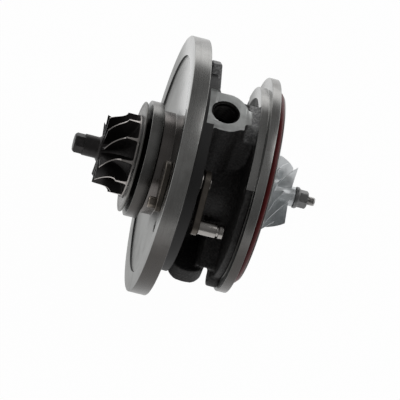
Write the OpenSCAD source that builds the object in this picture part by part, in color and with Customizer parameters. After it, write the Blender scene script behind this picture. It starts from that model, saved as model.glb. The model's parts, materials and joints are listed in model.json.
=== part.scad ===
// Core assembly of a small variable-geometry turbocharger, in millimetres.
// X runs along the shaft from the turbine to the compressor and Z points up through the oil inlet.
// The origin is on the shaft axis, at the front face of the turbine-side flange.

/* [Turbine wheel] */
// Number of turbine blades
turbine_blades = 11; // [9:1:13]
// Diameter over the blade tips where the gas enters
turbine_inlet_d = 36; // [34:0.5:37]
// Diameter over the blade tips where the gas leaves
turbine_outlet_d = 30; // [28:0.5:32]
// Length of the blades along the shaft
turbine_blade_len = 13.1; // [12:0.1:14]
// Height of the straight blade tip where the gas enters
turbine_tip_h = 5; // [4:0.1:6]
// Twist of the blades between inlet and outlet, in degrees
turbine_twist = 24; // [12:1:30]
// Blade thickness at the tip
turbine_blade_t = 0.9; // [0.7:0.05:1.2]
// Blade thickness at the root
turbine_root_t = 1.7; // [1.3:0.1:2.0]
// Thickness of the back disc at its rim
turbine_disc_t = 0.6; // [0.5:0.1:0.9]
// Diameter of the nose
turbine_nose_d = 9.4; // [8.5:0.1:10]
// Length of the round part of the nose
turbine_nose_len = 7.5; // [6:0.5:9]
// Length of the hexagon grip on the nose
turbine_grip_len = 4.4; // [3.5:0.1:5.5]
// Width of the hexagon grip across its corners
turbine_grip_d = 8.9; // [8:0.1:9.4]
// Gap between the back disc and the heat shield
turbine_gap = 0.5; // [0.4:0.1:1]

/* [Compressor wheel] */
// Number of full blades, with a splitter between each two
compressor_blades = 6; // [5:1:7]
// Diameter over the blade tips where the air leaves
compressor_outlet_d = 40; // [38:0.5:42]
// Diameter over the blade tips where the air enters
compressor_inlet_d = 28.6; // [27:0.1:30]
// Length of the full blades along the shaft
compressor_blade_len = 12.2; // [11.5:0.1:13]
// Height of the blades at the outlet
compressor_tip_h = 2.4; // [2:0.1:3]
// Wrap of the blades at the inlet, in degrees
compressor_wrap = 52; // [40:1:60]
// Backsweep of the blades at the outlet, in degrees
compressor_sweep = 26; // [15:1:32]
// Share of the blade passage before the splitters start
splitter_start = 0.32; // [0.2:0.02:0.45]
// Blade thickness at the tip
compressor_blade_t = 0.5; // [0.4:0.05:0.7]
// Blade thickness at the root
compressor_root_t = 1.0; // [0.8:0.1:1.3]
// Thickness of the back disc at its rim
compressor_disc_t = 0.8; // [0.6:0.1:1.2]
// Diameter of the nose under the nut
compressor_nose_d = 8.6; // [8.4:0.1:9.4]
// Length of the nose ahead of the blades
compressor_nose_len = 2.1; // [1.5:0.1:3]
// Gap between the compressor wheel and the housing
compressor_gap = 0.5; // [0.4:0.1:1]

/* [Shaft and bearings] */
// Diameter of the bearing journal
journal_d = 7; // [6.6:0.1:7.2]
// Diameter of the seal hub behind the turbine wheel
seal_hub_d = 13; // [12.6:0.1:13.4]
// Diameter of the stub that carries the compressor wheel
stub_d = 4.4; // [4.2:0.1:5]
// Diameter of the threaded end
thread_d = 4; // [3.6:0.1:4.1]
// Outside diameter of the floating bushes
bush_d = 10.9; // [10.7:0.1:11.5]
// Length of the floating bushes
bush_len = 7; // [6:0.1:7.4]
// Distance of the turbine-side bush from the flange face
bush_x = 3; // [2.8:0.1:3.6]
// Number of oil holes around each bush
bush_holes = 4; // [3:1:6]
// Diameter of the oil holes in the bushes
bush_hole_d = 1.6; // [1.2:0.1:2]
// Radial running clearance of the bushes, inside and outside
oil_film = 0.05; // [0.03:0.01:0.08]
// Radial clearance of the shaft seals
seal_clear = 0.1; // [0.08:0.01:0.15]
// Diameter of the thrust washer and of the flinger disc
thrust_d = 16; // [15:0.5:17]
// Thickness of the thrust washer and of the flinger disc
thrust_t = 1.6; // [1.4:0.1:1.8]
// Diameter of the thrust collar
collar_d = 9.4; // [9:0.1:9.8]
// Thickness of the thrust bearing
thrust_bearing_t = 3.5; // [3:0.1:4]
// Axial play on each side of the thrust bearing
thrust_play = 0.1; // [0.05:0.01:0.15]
// Thickness of the oil deflector sheet
deflector_t = 0.6; // [0.5:0.1:1]
// Diameter of the flinger sleeve
sleeve_d = 12; // [11.4:0.1:12.6]
// Width of the piston rings that seal the shaft
ring_w = 1.1; // [1:0.05:1.2]
// Depth of the piston ring grooves
ring_groove = 1; // [0.9:0.1:1.2]

/* [Nut] */
// Diameter of the nut's flange
nut_flange_d = 9.5; // [9:0.1:10.5]
// Thickness of the nut's flange
nut_flange_t = 2.1; // [1.5:0.1:2.5]
// Width of the hexagon across its corners
nut_hex_d = 8; // [7.6:0.1:8.8]
// Height of the hexagon
nut_hex_h = 3.8; // [3:0.1:5]
// Length of thread beyond the nut
thread_out = 3.4; // [2:0.1:5]

/* [Turbine flange] */
// Diameter of the flange
flange_d = 114; // [112:0.5:118]
// Thickness of the rim
flange_rim_t = 7.5; // [7:0.1:8]
// Thickness at the root of the clamp taper
flange_t = 14; // [13.6:0.1:14.4]
// Diameter at the root of the clamp taper
flange_root_d = 89; // [87:0.5:91]
// Diameter of the recess in the front face
recess_d = 96.4; // [94:0.2:98]
// Depth of the recess
recess_h = 1.5; // [1.3:0.1:2]
// Diameter of the spigot
spigot_d = 45.2; // [44:0.2:46]
// Diameter of the spigot's seat for the nozzle ring
land_d = 51.2; // [50:0.2:52]
// Length of the spigot ahead of the flange
spigot_len = 10; // [9.5:0.1:11]
// Length of the seat
land_len = 5.3; // [5:0.1:5.5]
// Width of the relief groove behind the seat
land_groove = 0.7; // [0.5:0.1:1]
// Diameter of the dowel hole
dowel_d = 4.6; // [4:0.1:5]
// Depth of the dowel hole
dowel_h = 6; // [5:0.5:8]
// Distance of the dowel hole from the axis
dowel_r = 36.7; // [35.5:0.1:38]
// Thickness of the heat shield sheet
shield_t = 0.8; // [0.6:0.1:1]
// Diameter of the heat shield
shield_d = 48.8; // [47:0.2:49.4]
// Rise of the heat shield's centre
shield_rise = 1.6; // [1.2:0.1:2]

/* [Compressor flange] */
// Distance between the two flange faces that look at each other
flange_span = 33.7; // [33.2:0.1:35]
// Diameter of the step behind the rim
step_d = 85.2; // [84:0.2:88]
// Thickness of the step
step_t = 3.5; // [3:0.1:4]
// Diameter of the rim
rim_d = 95.2; // [94:0.2:98]
// Thickness of the rim
rim_t = 4; // [3.5:0.1:4.5]
// Diameter of the pilot
pilot_d = 83; // [82:0.2:83.6]
// Length of the pilot
pilot_len = 3.6; // [3.4:0.1:4.2]
// Section of the O-ring on the pilot
o_ring_t = 2.4; // [2.2:0.1:2.5]
// Outside diameter of the seal plate
seal_plate_d = 35.9; // [35:0.1:36.5]
// Thickness of the seal plate's rim
seal_plate_t = 6.2; // [5.8:0.1:6.6]
// Diameter of the seal plate's spigot and of the thrust bearing
thrust_seat_d = 29.9; // [29:0.1:30.5]
// Length of the seal plate's spigot
seal_spigot_len = 3; // [2.6:0.1:3.4]
// Thickness of the circlip in front of the seal plate
circlip_t = 1.2; // [1:0.1:1.3]
// Section of the seal plate's O-ring
plate_ring_t = 1.6; // [1.4:0.1:1.8]

/* [Core casting] */
// Diameter of the barrel between the flanges
core_d = 34; // [32:0.5:36]
// Radius where the barrel runs into the flanges
core_fillet = 8; // [5:0.5:9]
// Height of the oil inlet face above the axis
inlet_z = 42.4; // [41.5:0.1:43]
// Distance of the oil inlet from the flange face
inlet_x = 18.6; // [18:0.1:19.4]
// Diameter of the oil inlet boss
inlet_boss_d = 21.8; // [20.5:0.1:22.4]
// Core diameter of the oil inlet thread
inlet_d = 10.8; // [10:0.1:11.4]
// Depth of the oil inlet thread
inlet_h = 14; // [12:0.5:16]
// Depth of the chamfer at the oil inlet
inlet_chamfer = 0.8; // [0.5:0.1:1.2]
// Diameter of the oil drillings
drill_d = 3; // [2.5:0.1:3.4]
// Distance of the oil drain from the flange face
drain_x = 23.5; // [23.3:0.1:23.8]
// Depth of the oil drain face below the axis
drain_z = 40; // [38:0.5:41]
// Diameter of the oil drain
drain_d = 14; // [12:0.5:15]
// Distance between the two drain bolts
drain_pitch = 42.2; // [41:0.2:44]
// Core diameter of the drain bolt threads
drain_bolt_d = 5; // [4.2:0.1:6]
// Depth of the drain bolt holes
drain_bolt_h = 8; // [7:0.5:8.5]
// Thickness of the drain flange
drain_t = 9; // [8.8:0.1:10]
// Width of the drain flange at its ends
drain_w = 15.6; // [14.5:0.1:16]

/* [Nozzle lever] */
// Distance of the lever pivot from the shaft axis
pivot_r = 31.4; // [31:0.1:32.2]
// Angle of the lever pivot above the horizontal, in degrees
pivot_el = 41.9; // [40:0.1:43]
// Direction of the lever and crank below the horizontal, in degrees
lever_el = 41; // [38:1:44]
// Diameter of the lever shaft
lever_shaft_d = 7; // [6:0.1:7.4]
// Outside diameter of the lever bush
lever_bush_d = 10; // [9.4:0.1:10.6]
// Radial running clearance in the lever bush
lever_clear = 0.05; // [0.03:0.01:0.08]
// Axial gap on each side of the lever bush
lever_play = 0.3; // [0.25:0.05:0.4]
// Distance from pivot to pin on the outer lever
lever_len = 18.7; // [17.5:0.1:19.5]
// Thickness of the outer lever
lever_t = 3; // [2.5:0.1:3.3]
// Width of the outer lever at its pivot
lever_hub_d = 11; // [10:0.1:12]
// Width of the outer lever at its pin
lever_end_d = 8; // [7.6:0.1:9]
// Diameter of the lever pin
lever_pin_d = 6.4; // [6:0.1:7]
// Length of the lever pin
lever_pin_len = 11.2; // [10:0.1:11.6]
// Distance from pivot to pin on the inner crank
crank_len = 13.4; // [12.5:0.1:14]
// Thickness of the inner crank
crank_t = 2.5; // [2.2:0.1:2.8]
// Width of the inner crank at its pivot
crank_hub_d = 11; // [10.4:0.1:11.6]
// Width of the inner crank at its pin
crank_end_d = 7; // [6.4:0.1:7.6]
// Diameter of the crank pin
crank_pin_d = 5; // [4:0.1:5.6]
// Length of the crank pin ahead of the crank
crank_pin_len = 3.4; // [2.5:0.1:4]

/* [Hidden] */
$fn = 96;
eps = 0.01;
edge = 0.5;
seat_clear = 0.02;
blade_steps = 14;
hub_steps = 19;
blade_start = 0.012;
arc_steps = 10;

// Places along the shaft, from the turbine to the compressor
x_seat = -spigot_len;
x_land = x_seat + land_len;
x_spigot = x_land + land_groove;
x_floor = recess_h;
x_disc = x_seat - shield_t - shield_rise - turbine_gap;
x_turbine_in = x_disc - turbine_disc_t;
x_turbine_out = x_turbine_in - turbine_blade_len;
x_weld = x_disc + turbine_gap;
x_journal = -4;
x_step = flange_span;
x_rim = x_step + step_t;
x_pilot = x_rim + rim_t;
x_pilot_end = x_pilot + pilot_len;
x_plate_end = x_pilot_end - circlip_t - 0.4;
x_plate = x_plate_end - seal_plate_t;
x_plate_tip = x_plate - seal_spigot_len;
x_thrust = x_plate_tip - deflector_t - thrust_bearing_t;
x_collar = x_thrust - thrust_play;
x_washer = x_collar - thrust_t;
x_flinger = x_thrust + thrust_bearing_t + thrust_play;
x_wheel = x_pilot_end + compressor_gap;
x_wheel_out = x_wheel + compressor_disc_t;
x_wheel_in = x_wheel_out + compressor_blade_len;
x_nut = x_wheel_in + compressor_nose_len;
x_hex = x_nut + nut_flange_t;
x_nut_end = x_hex + nut_hex_h;
x_thread_end = x_nut_end + thread_out;

// Bearings
journal_r = journal_d / 2;
bush_r = bush_d / 2;
main_bore_r = bush_r + oil_film;
circlip_w = 0.9;
circlip_gap = 0.15;
circlip_reach = 0.6;
bush_2_x = x_washer - 0.9 - bush_len;
seal_bore_r = seal_hub_d / 2 + seal_clear;
sleeve_bore_r = sleeve_d / 2 + seal_clear;
thrust_pocket_r = thrust_d / 2 + 0.5;
ring_side = 0.1;
turbine_ring_x = (x_seat + x_journal) / 2 - ring_w / 2;
sleeve_rings = [x_plate + 0.9, x_plate + 3.3];

// Nozzle lever
pivot_y = -pivot_r * cos(pivot_el);
pivot_z = pivot_r * sin(pivot_el);
bush_boss_t = 1.2;
x_bush_end = flange_t + bush_boss_t + 0.6;
x_lever = x_bush_end + lever_play;
x_lever_out = x_lever + lever_t;
x_crank = x_floor - lever_play - crank_t;
tenon_d = lever_shaft_d - 1.2;
pin_groove_w = 1;
pin_groove_h = 0.9;
pin_head = 2.4;

// A point on a quarter ellipse that leaves one end along the shaft and reaches the other along a radius
function passage(axial_end, radial_end, s) = [
    axial_end[0] + (radial_end[0] - axial_end[0]) * sin(90 * s),
    radial_end[1] - (radial_end[1] - axial_end[1]) * cos(90 * s)
];

// Points of an arc in the plane of a profile, as radius and place along the shaft
function arc_points(centre, radius, from, to) = [
    for (i = [0 : arc_steps])
        let (a = from + (to - from) * i / arc_steps)
        centre + radius * [cos(a), sin(a)]
];

// A body turned about the shaft, from points of radius and place along the shaft
module turned(points) {
    rotate([0, 90, 0])
        rotate_extrude()
            polygon(points);
}

// A round bar along the shaft direction
module bar_x(x, d, len) {
    translate([x, 0, 0])
        rotate([0, 90, 0])
            cylinder(d = d, h = len);
}

// A flat ring round the shaft
module ring_x(x, d_out, d_in, len) {
    difference() {
        bar_x(x, d_out, len);
        bar_x(x - eps, d_in, len + 2 * eps);
    }
}

// A ring with a gap at the top, as on circlips and piston rings
module split_ring(x, d_out, d_in, len, gap) {
    difference() {
        ring_x(x, d_out, d_in, len);
        translate([x - eps, -gap / 2, 0])
            cube([len + 2 * eps, gap, d_out]);
    }
}

// Moves and turns a shape so that its Z axis points away from the shaft at this elevation
module spoke(el) {
    rotate([90 - el, 0, 0])
        children();
}

// One blade between a hub line and a tip line, both quarter ellipses of [place, radius] ends.
// Each cross line lies in a plane through the shaft, turned by the wrap near the axial end and by
// the sweep near the radial end. The root is sunk below the hub line so that it grows out of it.
module blade(hub, tip, first, wrap, sweep, root_t, tip_t, sink) {
    grid = [
        for (side = [-1, 1])
            for (i = [0 : blade_steps])
                let (s = first + (1 - first) * i / blade_steps)
                let (turn = wrap * pow(1 - s, 2) + sweep * pow(s, 3))
                let (low = passage(hub[0], hub[1], s))
                let (high = passage(tip[0], tip[1], s))
                let (along = high - low)
                let (root = low - along * sink / norm(along))
                for (end = [[root, root_t], [high, tip_t]])
                    let (r = end[0][1])
                    let (half = side * end[1] / 2)
                    [
                        end[0][0],
                        -r * cos(turn) - half * sin(turn),
                        r * sin(turn) - half * cos(turn)
                    ]
    ];
    row = 2 * (blade_steps + 1);
    last = row - 2;
    sides = [
        for (i = [0 : 2 : last - 2])
            each [
                [i, i + 1, i + 2], [i + 1, i + 3, i + 2],
                [row + i, row + i + 2, row + i + 1], [row + i + 1, row + i + 2, row + i + 3],
                [i + 1, row + i + 1, i + 3], [i + 3, row + i + 1, row + i + 3],
                [i, i + 2, row + i], [i + 2, row + i + 2, row + i]
            ]
    ];
    ends = [
        [0, row, 1], [1, row, row + 1],
        [last, last + 1, row + last], [last + 1, row + last + 1, row + last]
    ];
    outward = hub[0][0] > hub[1][0];
    faces = [
        for (f = concat(sides, ends))
            outward ? f : [f[2], f[1], f[0]]
    ];
    polyhedron(points = grid, faces = faces);
}

// Turbine wheel: hub, back disc and blades in one casting, with the nose and its hexagon grip
turbine_hub_r = turbine_nose_d / 2 + 0.6;
turbine_hub = [[x_turbine_out, turbine_hub_r], [x_turbine_in, turbine_inlet_d / 2]];
turbine_tip = [
    [x_turbine_out, turbine_outlet_d / 2],
    [x_turbine_in - turbine_tip_h, turbine_inlet_d / 2]
];
turbine_phase = 40;
hub_lead = 0.6;
disc_lip = 0.3;
blade_sink = 0.5;

module turbine_wheel() {
    x_nose = x_turbine_out - turbine_nose_len;
    hub_line = [
        for (i = [hub_steps : -1 : 0])
            let (p = passage(turbine_hub[0], turbine_hub[1], i / hub_steps))
            [p[1], p[0]]
    ];
    disc_r = turbine_inlet_d / 2 + disc_lip;
    color("#2e2a28")
    union() {
        turned(concat(
            [
                [0, x_weld], [seal_hub_d / 2, x_weld], [seal_hub_d / 2, x_disc],
                [disc_r, x_disc], [disc_r, x_turbine_in]
            ],
            hub_line,
            [
                [turbine_hub_r, x_turbine_out - hub_lead],
                [turbine_nose_d / 2, x_turbine_out - 2 * hub_lead],
                [turbine_nose_d / 2, x_nose], [0, x_nose]
            ]
        ));
        translate([x_nose - turbine_grip_len, 0, 0])
            rotate([0, 90, 0])
                cylinder(d = turbine_grip_d, h = turbine_grip_len + eps, $fn = 6);
        for (i = [0 : turbine_blades - 1])
            rotate([-turbine_phase - i * 360 / turbine_blades, 0, 0])
                blade(turbine_hub, turbine_tip, blade_start, -turbine_twist, 0,
                    turbine_root_t, turbine_blade_t, blade_sink);
    }
}

// Compressor wheel: milled from one billet, with full blades and splitters
compressor_hub = [
    [x_wheel_in, compressor_nose_d / 2],
    [x_wheel_out, compressor_outlet_d / 2 - disc_lip]
];
compressor_tip = [
    [x_wheel_in, compressor_inlet_d / 2],
    [x_wheel_out + compressor_tip_h, compressor_outlet_d / 2 - disc_lip]
];

module compressor_wheel() {
    pitch = 360 / compressor_blades;
    hub_line = [
        for (i = [hub_steps : -1 : 0])
            let (p = passage(compressor_hub[0], compressor_hub[1], i / hub_steps))
            [p[1], p[0]]
    ];
    color("#c9ccd0")
    difference() {
        union() {
            turned(concat(
                [
                    [0, x_wheel], [compressor_outlet_d / 2, x_wheel],
                    [compressor_outlet_d / 2, x_wheel_out]
                ],
                hub_line,
                [[compressor_nose_d / 2, x_nut], [0, x_nut]]
            ));
            for (i = [0 : compressor_blades - 1])
                for (part = [[0, blade_start], [pitch / 2, splitter_start]])
                    rotate([-i * pitch - part[0], 0, 0])
                        blade(compressor_hub, compressor_tip, part[1], compressor_wrap,
                            -compressor_sweep, compressor_root_t, compressor_blade_t, blade_sink);
        }
        bar_x(x_wheel - eps, stub_d + 2 * seat_clear, x_nut - x_wheel + 2 * eps);
    }
}

// Shaft: seal hub with its ring groove, two journals, stub and threaded end
module rotor_shaft() {
    hub_r = seal_hub_d / 2;
    groove_r = hub_r - ring_groove;
    groove_x = turbine_ring_x - ring_side;
    groove_end = turbine_ring_x + ring_w + ring_side;
    relief_x = bush_x + bush_len + 1;
    relief_end = bush_2_x - 1;
    color("#8f8c88")
    turned([
        [0, x_weld], [hub_r, x_weld], [hub_r, groove_x], [groove_r, groove_x],
        [groove_r, groove_end], [hub_r, groove_end], [hub_r, x_journal - edge],
        [hub_r - edge, x_journal], [journal_r, x_journal + edge], [journal_r, relief_x],
        [journal_r - edge, relief_x + edge], [journal_r - edge, relief_end - edge],
        [journal_r, relief_end], [journal_r, x_washer], [stub_d / 2, x_washer],
        [stub_d / 2, x_nut - edge], [thread_d / 2, x_nut - edge / 2],
        [thread_d / 2, x_thread_end - edge], [thread_d / 2 - edge, x_thread_end], [0, x_thread_end]
    ]);
}

// Floating journal bush with its ring of oil holes
module floating_bush(x) {
    color("#b08a4a")
    difference() {
        ring_x(x, bush_d, journal_d + 2 * oil_film, bush_len);
        for (i = [0 : bush_holes - 1])
            translate([x + bush_len / 2, 0, 0])
                rotate([i * 360 / bush_holes, 0, 0])
                    cylinder(d = bush_hole_d, h = bush_d);
    }
}

module turbine_bearing() {
    floating_bush(bush_x);
}

module compressor_bearing() {
    floating_bush(bush_2_x);
}

// Wire rings that keep the two bushes in their places
circlip_places = [
    bush_x - circlip_gap - circlip_w,
    bush_x + bush_len + circlip_gap,
    bush_2_x - circlip_gap - circlip_w
];

module bearing_circlips() {
    color("#6f6f72")
    for (x = circlip_places)
        split_ring(x, 2 * (main_bore_r + circlip_reach), bush_d - 1.6, circlip_w, 3);
}

// Stack on the stub, between the journal and the compressor wheel
module thrust_washer() {
    color("#77787b")
    ring_x(x_washer, thrust_d, stub_d + 2 * seat_clear, thrust_t);
}

module thrust_collar() {
    color("#7f8083")
    ring_x(x_collar, collar_d, stub_d + 2 * seat_clear, thrust_bearing_t + 2 * thrust_play);
}

module oil_flinger() {
    disc_r = thrust_d / 2;
    sleeve_r = sleeve_d / 2;
    x_sleeve = x_flinger + thrust_t;
    color("#85868a")
    difference() {
        turned([
            [0, x_flinger], [disc_r, x_flinger], [disc_r, x_sleeve],
            [sleeve_r, x_sleeve + edge], [sleeve_r, x_wheel], [0, x_wheel]
        ]);
        for (x = sleeve_rings)
            ring_x(x - ring_side, sleeve_d + 1, sleeve_d - 2 * ring_groove, ring_w + 2 * ring_side);
        bar_x(x_flinger - eps, stub_d + 2 * seat_clear, x_wheel - x_flinger + 2 * eps);
    }
}

module lock_nut() {
    color("#6d6c6b")
    difference() {
        union() {
            turned([
                [0, x_nut], [nut_flange_d / 2, x_nut], [nut_flange_d / 2, x_nut + nut_flange_t * 0.6],
                [nut_hex_d / 2, x_hex], [0, x_hex]
            ]);
            intersection() {
                translate([x_hex - eps, 0, 0])
                    rotate([0, 90, 0])
                        cylinder(d = nut_hex_d, h = nut_hex_h + eps, $fn = 6);
                turned([
                    [0, x_hex - 1], [nut_hex_d / 2 + 0.1, x_hex - 1],
                    [nut_hex_d / 2 + 0.1, x_nut_end - edge], [nut_hex_d / 2 - edge, x_nut_end],
                    [0, x_nut_end]
                ]);
            }
        }
        bar_x(x_nut - eps, thread_d + 2 * seat_clear, x_nut_end - x_nut + 2 * eps);
    }
}

// Seals and plates that stand still
module turbine_seal_ring() {
    color("#5b5a58")
    split_ring(turbine_ring_x, 2 * (seal_bore_r - seat_clear),
        seal_hub_d - 2 * ring_groove + 0.3, ring_w, 0.6);
}

module compressor_seal_rings() {
    color("#5b5a58")
    for (x = sleeve_rings)
        split_ring(x, 2 * (sleeve_bore_r - seat_clear), sleeve_d - 2 * ring_groove + 0.3, ring_w, 0.6);
}

module thrust_bearing() {
    pad_h = 0.3;
    pads = 3;
    color("#b8924f")
    difference() {
        ring_x(x_thrust, thrust_seat_d, collar_d + 0.6, thrust_bearing_t);
        for (i = [0 : pads - 1])
            rotate([i * 360 / pads + 60, 0, 0])
                translate([x_thrust - eps, -0.6, 0])
                    cube([pad_h, 1.2, thrust_d / 2]);
        translate([x_thrust - eps, -thrust_seat_d / 4, -thrust_seat_d])
            cube([thrust_bearing_t + 2 * eps, thrust_seat_d / 2, thrust_seat_d * 0.62]);
    }
}

module oil_deflector() {
    x = x_thrust + thrust_bearing_t;
    tongue_z = thrust_seat_d / 2;
    color("#8c8d90")
    difference() {
        ring_x(x, thrust_seat_d, thrust_d + 1.2, deflector_t);
        translate([x - eps, -thrust_seat_d / 4, -tongue_z - 1])
            cube([deflector_t + 2 * eps, thrust_seat_d / 2, tongue_z * 0.45 + 1]);
    }
}

module seal_plate() {
    r = seal_plate_d / 2;
    spigot_r = thrust_seat_d / 2;
    groove_r = r - plate_ring_t - seat_clear;
    groove_w = plate_ring_t + 0.4;
    x_groove = x_plate + seal_plate_t / 2 - groove_w / 2;
    pocket_end = x_flinger + thrust_t + 1;
    color("#a9aaad")
    difference() {
        turned([
            [0, x_plate_tip], [spigot_r, x_plate_tip], [spigot_r, x_plate], [r, x_plate],
            [r, x_groove], [groove_r, x_groove], [groove_r, x_groove + groove_w],
            [r, x_groove + groove_w], [r, x_plate_end], [0, x_plate_end]
        ]);
        bar_x(x_plate_tip - eps, thrust_d + 1.2, pocket_end - x_plate_tip);
        bar_x(x_plate_tip, 2 * sleeve_bore_r, x_plate_end - x_plate_tip + eps);
    }
}

module seal_plate_o_ring() {
    x = x_plate + seal_plate_t / 2;
    color("#1c1c1c")
    translate([x, 0, 0])
        rotate([0, 90, 0])
            rotate_extrude()
                translate([(seal_plate_d - plate_ring_t) / 2, 0])
                    circle(d = plate_ring_t);
}

module seal_plate_circlip() {
    color("#55565a")
    split_ring(x_plate_end, seal_plate_d + 2, seal_plate_d - 4, circlip_t, 8);
}

module flange_o_ring() {
    color("#7a1212")
    translate([x_pilot + pilot_len / 2, 0, 0])
        rotate([0, 90, 0])
            rotate_extrude()
                translate([pilot_d / 2, 0])
                    circle(d = o_ring_t);
}

// Heat shield: pressed dish whose foot rests on the end of the spigot
shield_seat_r = land_d / 2 - 4;

module heat_shield() {
    rim_r = shield_d / 2;
    foot_x = x_seat - shield_t;
    top_x = foot_x - shield_rise;
    bore_r = seal_hub_d / 2 + turbine_gap;
    color("#b9b6b0")
    turned([
        [bore_r, top_x], [shield_seat_r - 3, top_x], [shield_seat_r - 1, foot_x],
        [rim_r, foot_x], [rim_r, x_seat], [shield_seat_r - 1.6, x_seat],
        [shield_seat_r - 3.5, top_x + shield_t], [bore_r, top_x + shield_t]
    ]);
}

// Bearing housing: one casting with two turned flanges, the oil inlet and the oil drain
inlet_back = 7.9;
inlet_web_x = 30;
inlet_web_y = 8;
inlet_low_z = 37;
drain_mid_d = 18;
gusset_x = 26.5;
gusset_t = 5;
gusset_out = drain_pitch / 2 + 4;
lug_w = 9;
lug_t = 4;
lug_r = 43;
lug_el = 129;
foot_lug_d = 12;
foot_lug_r = 40.5;
foot_lug_el = -41;
foot_lug_t = 3;
notch_el = 28;
notch_r = 40.8;
bush_boss_d = 16;
dowel_el = 1.5;
slinger_r = 9;
slinger_end = 1;
chute_w = 14;
chute_z = 8.5;

module housing_turning() {
    core_r = core_d / 2;
    fillet_r = core_r + core_fillet;
    land_r = land_d / 2;
    groove_r = spigot_d / 2 - 1.1;
    pilot_r = pilot_d / 2;
    ring_x0 = x_pilot + pilot_len / 2 - o_ring_t / 2 - ring_side;
    ring_x1 = x_pilot + pilot_len / 2 + o_ring_t / 2 + ring_side;
    ring_r = pilot_r - o_ring_t / 2 - seat_clear;
    turned(concat(
        [
            [0, x_seat], [shield_seat_r, x_seat], [shield_seat_r + 1, x_seat + 1],
            [land_r - edge, x_seat + 1], [land_r, x_seat + 1 + edge], [land_r, x_land],
            [groove_r, x_land], [groove_r, x_spigot], [spigot_d / 2, x_spigot],
            [spigot_d / 2, x_floor], [recess_d / 2, x_floor], [recess_d / 2, 0],
            [flange_d / 2, 0], [flange_d / 2, flange_rim_t], [flange_root_d / 2, flange_t]
        ],
        arc_points([fillet_r, flange_t + core_fillet], core_fillet, 270, 180),
        arc_points([fillet_r, x_step - core_fillet], core_fillet, 180, 90),
        [
            [step_d / 2, x_step], [step_d / 2, x_rim], [rim_d / 2, x_rim], [rim_d / 2, x_pilot],
            [pilot_r, x_pilot], [pilot_r, ring_x0], [ring_r, ring_x0], [ring_r, ring_x1],
            [pilot_r, ring_x1], [pilot_r, x_pilot_end], [0, x_pilot_end]
        ]
    ));
}

// Outline of the milled oil inlet face, seen from above
module inlet_outline() {
    translate([inlet_x, 0])
        circle(d = inlet_boss_d);
    translate([inlet_x - inlet_back, -inlet_boss_d / 2 + 1.4])
        square([inlet_back, inlet_boss_d - 1.8]);
    translate([inlet_x, -inlet_web_y])
        square([inlet_web_x - inlet_x, inlet_web_y]);
}

module inlet_boss() {
    linear_extrude(inlet_z)
        inlet_outline();
    translate([inlet_x, -inlet_web_y, 0])
        cube([x_step - inlet_x + 1, inlet_web_y, inlet_low_z]);
}

// Outline of the oil drain flange, seen from below
module drain_outline() {
    for (side = [-1, 1])
        translate([drain_x, side * drain_pitch / 2])
            circle(d = drain_w);
    translate([drain_x - drain_w / 2, -drain_pitch / 2])
        square([drain_w, drain_pitch]);
    translate([drain_x, 0])
        circle(d = drain_mid_d);
}

module drain_neck() {
    translate([0, 0, -drain_z])
        linear_extrude(drain_t)
            drain_outline();
    translate([0, 0, -drain_z + eps])
        linear_extrude(drain_z)
            union() {
                translate([drain_x, 0])
                    circle(d = drain_w);
                translate([flange_t - 1, -drain_d / 2 - 3])
                    square([drain_x - flange_t + 1, drain_d + 6]);
            }
    translate([gusset_x, 0, 0])
        rotate([90, 0, 90])
            linear_extrude(gusset_t)
                polygon([
                    [-core_d / 2 + 2, 0], [-gusset_out, -drain_z + drain_t],
                    [gusset_out, -drain_z + drain_t], [core_d / 2 - 2, 0]
                ]);
}

// Cast lugs: one behind the turbine flange, one on the compressor flange
module cast_lugs() {
    spoke(lug_el) {
        translate([flange_t - 1, -lug_w / 2, 0])
            cube([lug_t + 1, lug_w, lug_r]);
        translate([flange_t - 1, 0, lug_r])
            rotate([0, 90, 0])
                cylinder(d = lug_w, h = lug_t + 1);
    }
    spoke(foot_lug_el) {
        translate([x_step - foot_lug_t, -foot_lug_d / 2, 0])
            cube([foot_lug_t + 1, foot_lug_d, foot_lug_r]);
        translate([x_step - foot_lug_t, 0, foot_lug_r])
            rotate([0, 90, 0])
                cylinder(d = foot_lug_d, h = foot_lug_t + step_t + 1);
    }
}

// Everything bored along the shaft, from the turbine seal to the compressor circlip
module shaft_bores() {
    bar_x(x_seat - eps, 2 * seal_bore_r, x_journal - x_seat + 2 * eps);
    bar_x(x_journal, 2 * slinger_r, slinger_end - x_journal);
    bar_x(slinger_end - eps, 2 * main_bore_r, x_washer - slinger_end);
    bar_x(x_washer - 2 * thrust_play, 2 * thrust_pocket_r, x_thrust - x_washer + 1);
    bar_x(x_thrust, thrust_seat_d + 2 * seat_clear, x_plate - x_thrust + 1);
    bar_x(x_plate, seal_plate_d + 2 * seat_clear, x_pilot_end - x_plate + 1);
    bar_x(x_plate_end, seal_plate_d + 2 + 2 * seat_clear, circlip_t + seat_clear);
    for (x = circlip_places)
        bar_x(x - seat_clear, 2 * (main_bore_r + circlip_reach + seat_clear), circlip_w + 2 * seat_clear);
}

// A straight drilling in the middle plane, between two points of [x, z]
module drilling(from, to, d) {
    run = to - from;
    translate([from[0], 0, from[1]])
        rotate([0, atan2(run[0], run[1]), 0])
            cylinder(d = d, h = norm(run));
}

module oil_inlet_cuts() {
    bottom = inlet_z - inlet_h;
    source = [inlet_x, bottom + drill_d];
    translate([inlet_x, 0, bottom])
        cylinder(d = inlet_d, h = inlet_h + 1);
    translate([inlet_x, 0, inlet_z - inlet_chamfer])
        cylinder(d1 = inlet_d, d2 = inlet_d + 2 * inlet_chamfer + 0.4, h = inlet_chamfer + 0.2);
    for (target = [
        [bush_x + bush_len / 2, 0],
        [bush_2_x + bush_len / 2, 0],
        [x_thrust + 0.5, thrust_d / 2 + 2]
    ])
        drilling(source, target, drill_d);
}

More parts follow.
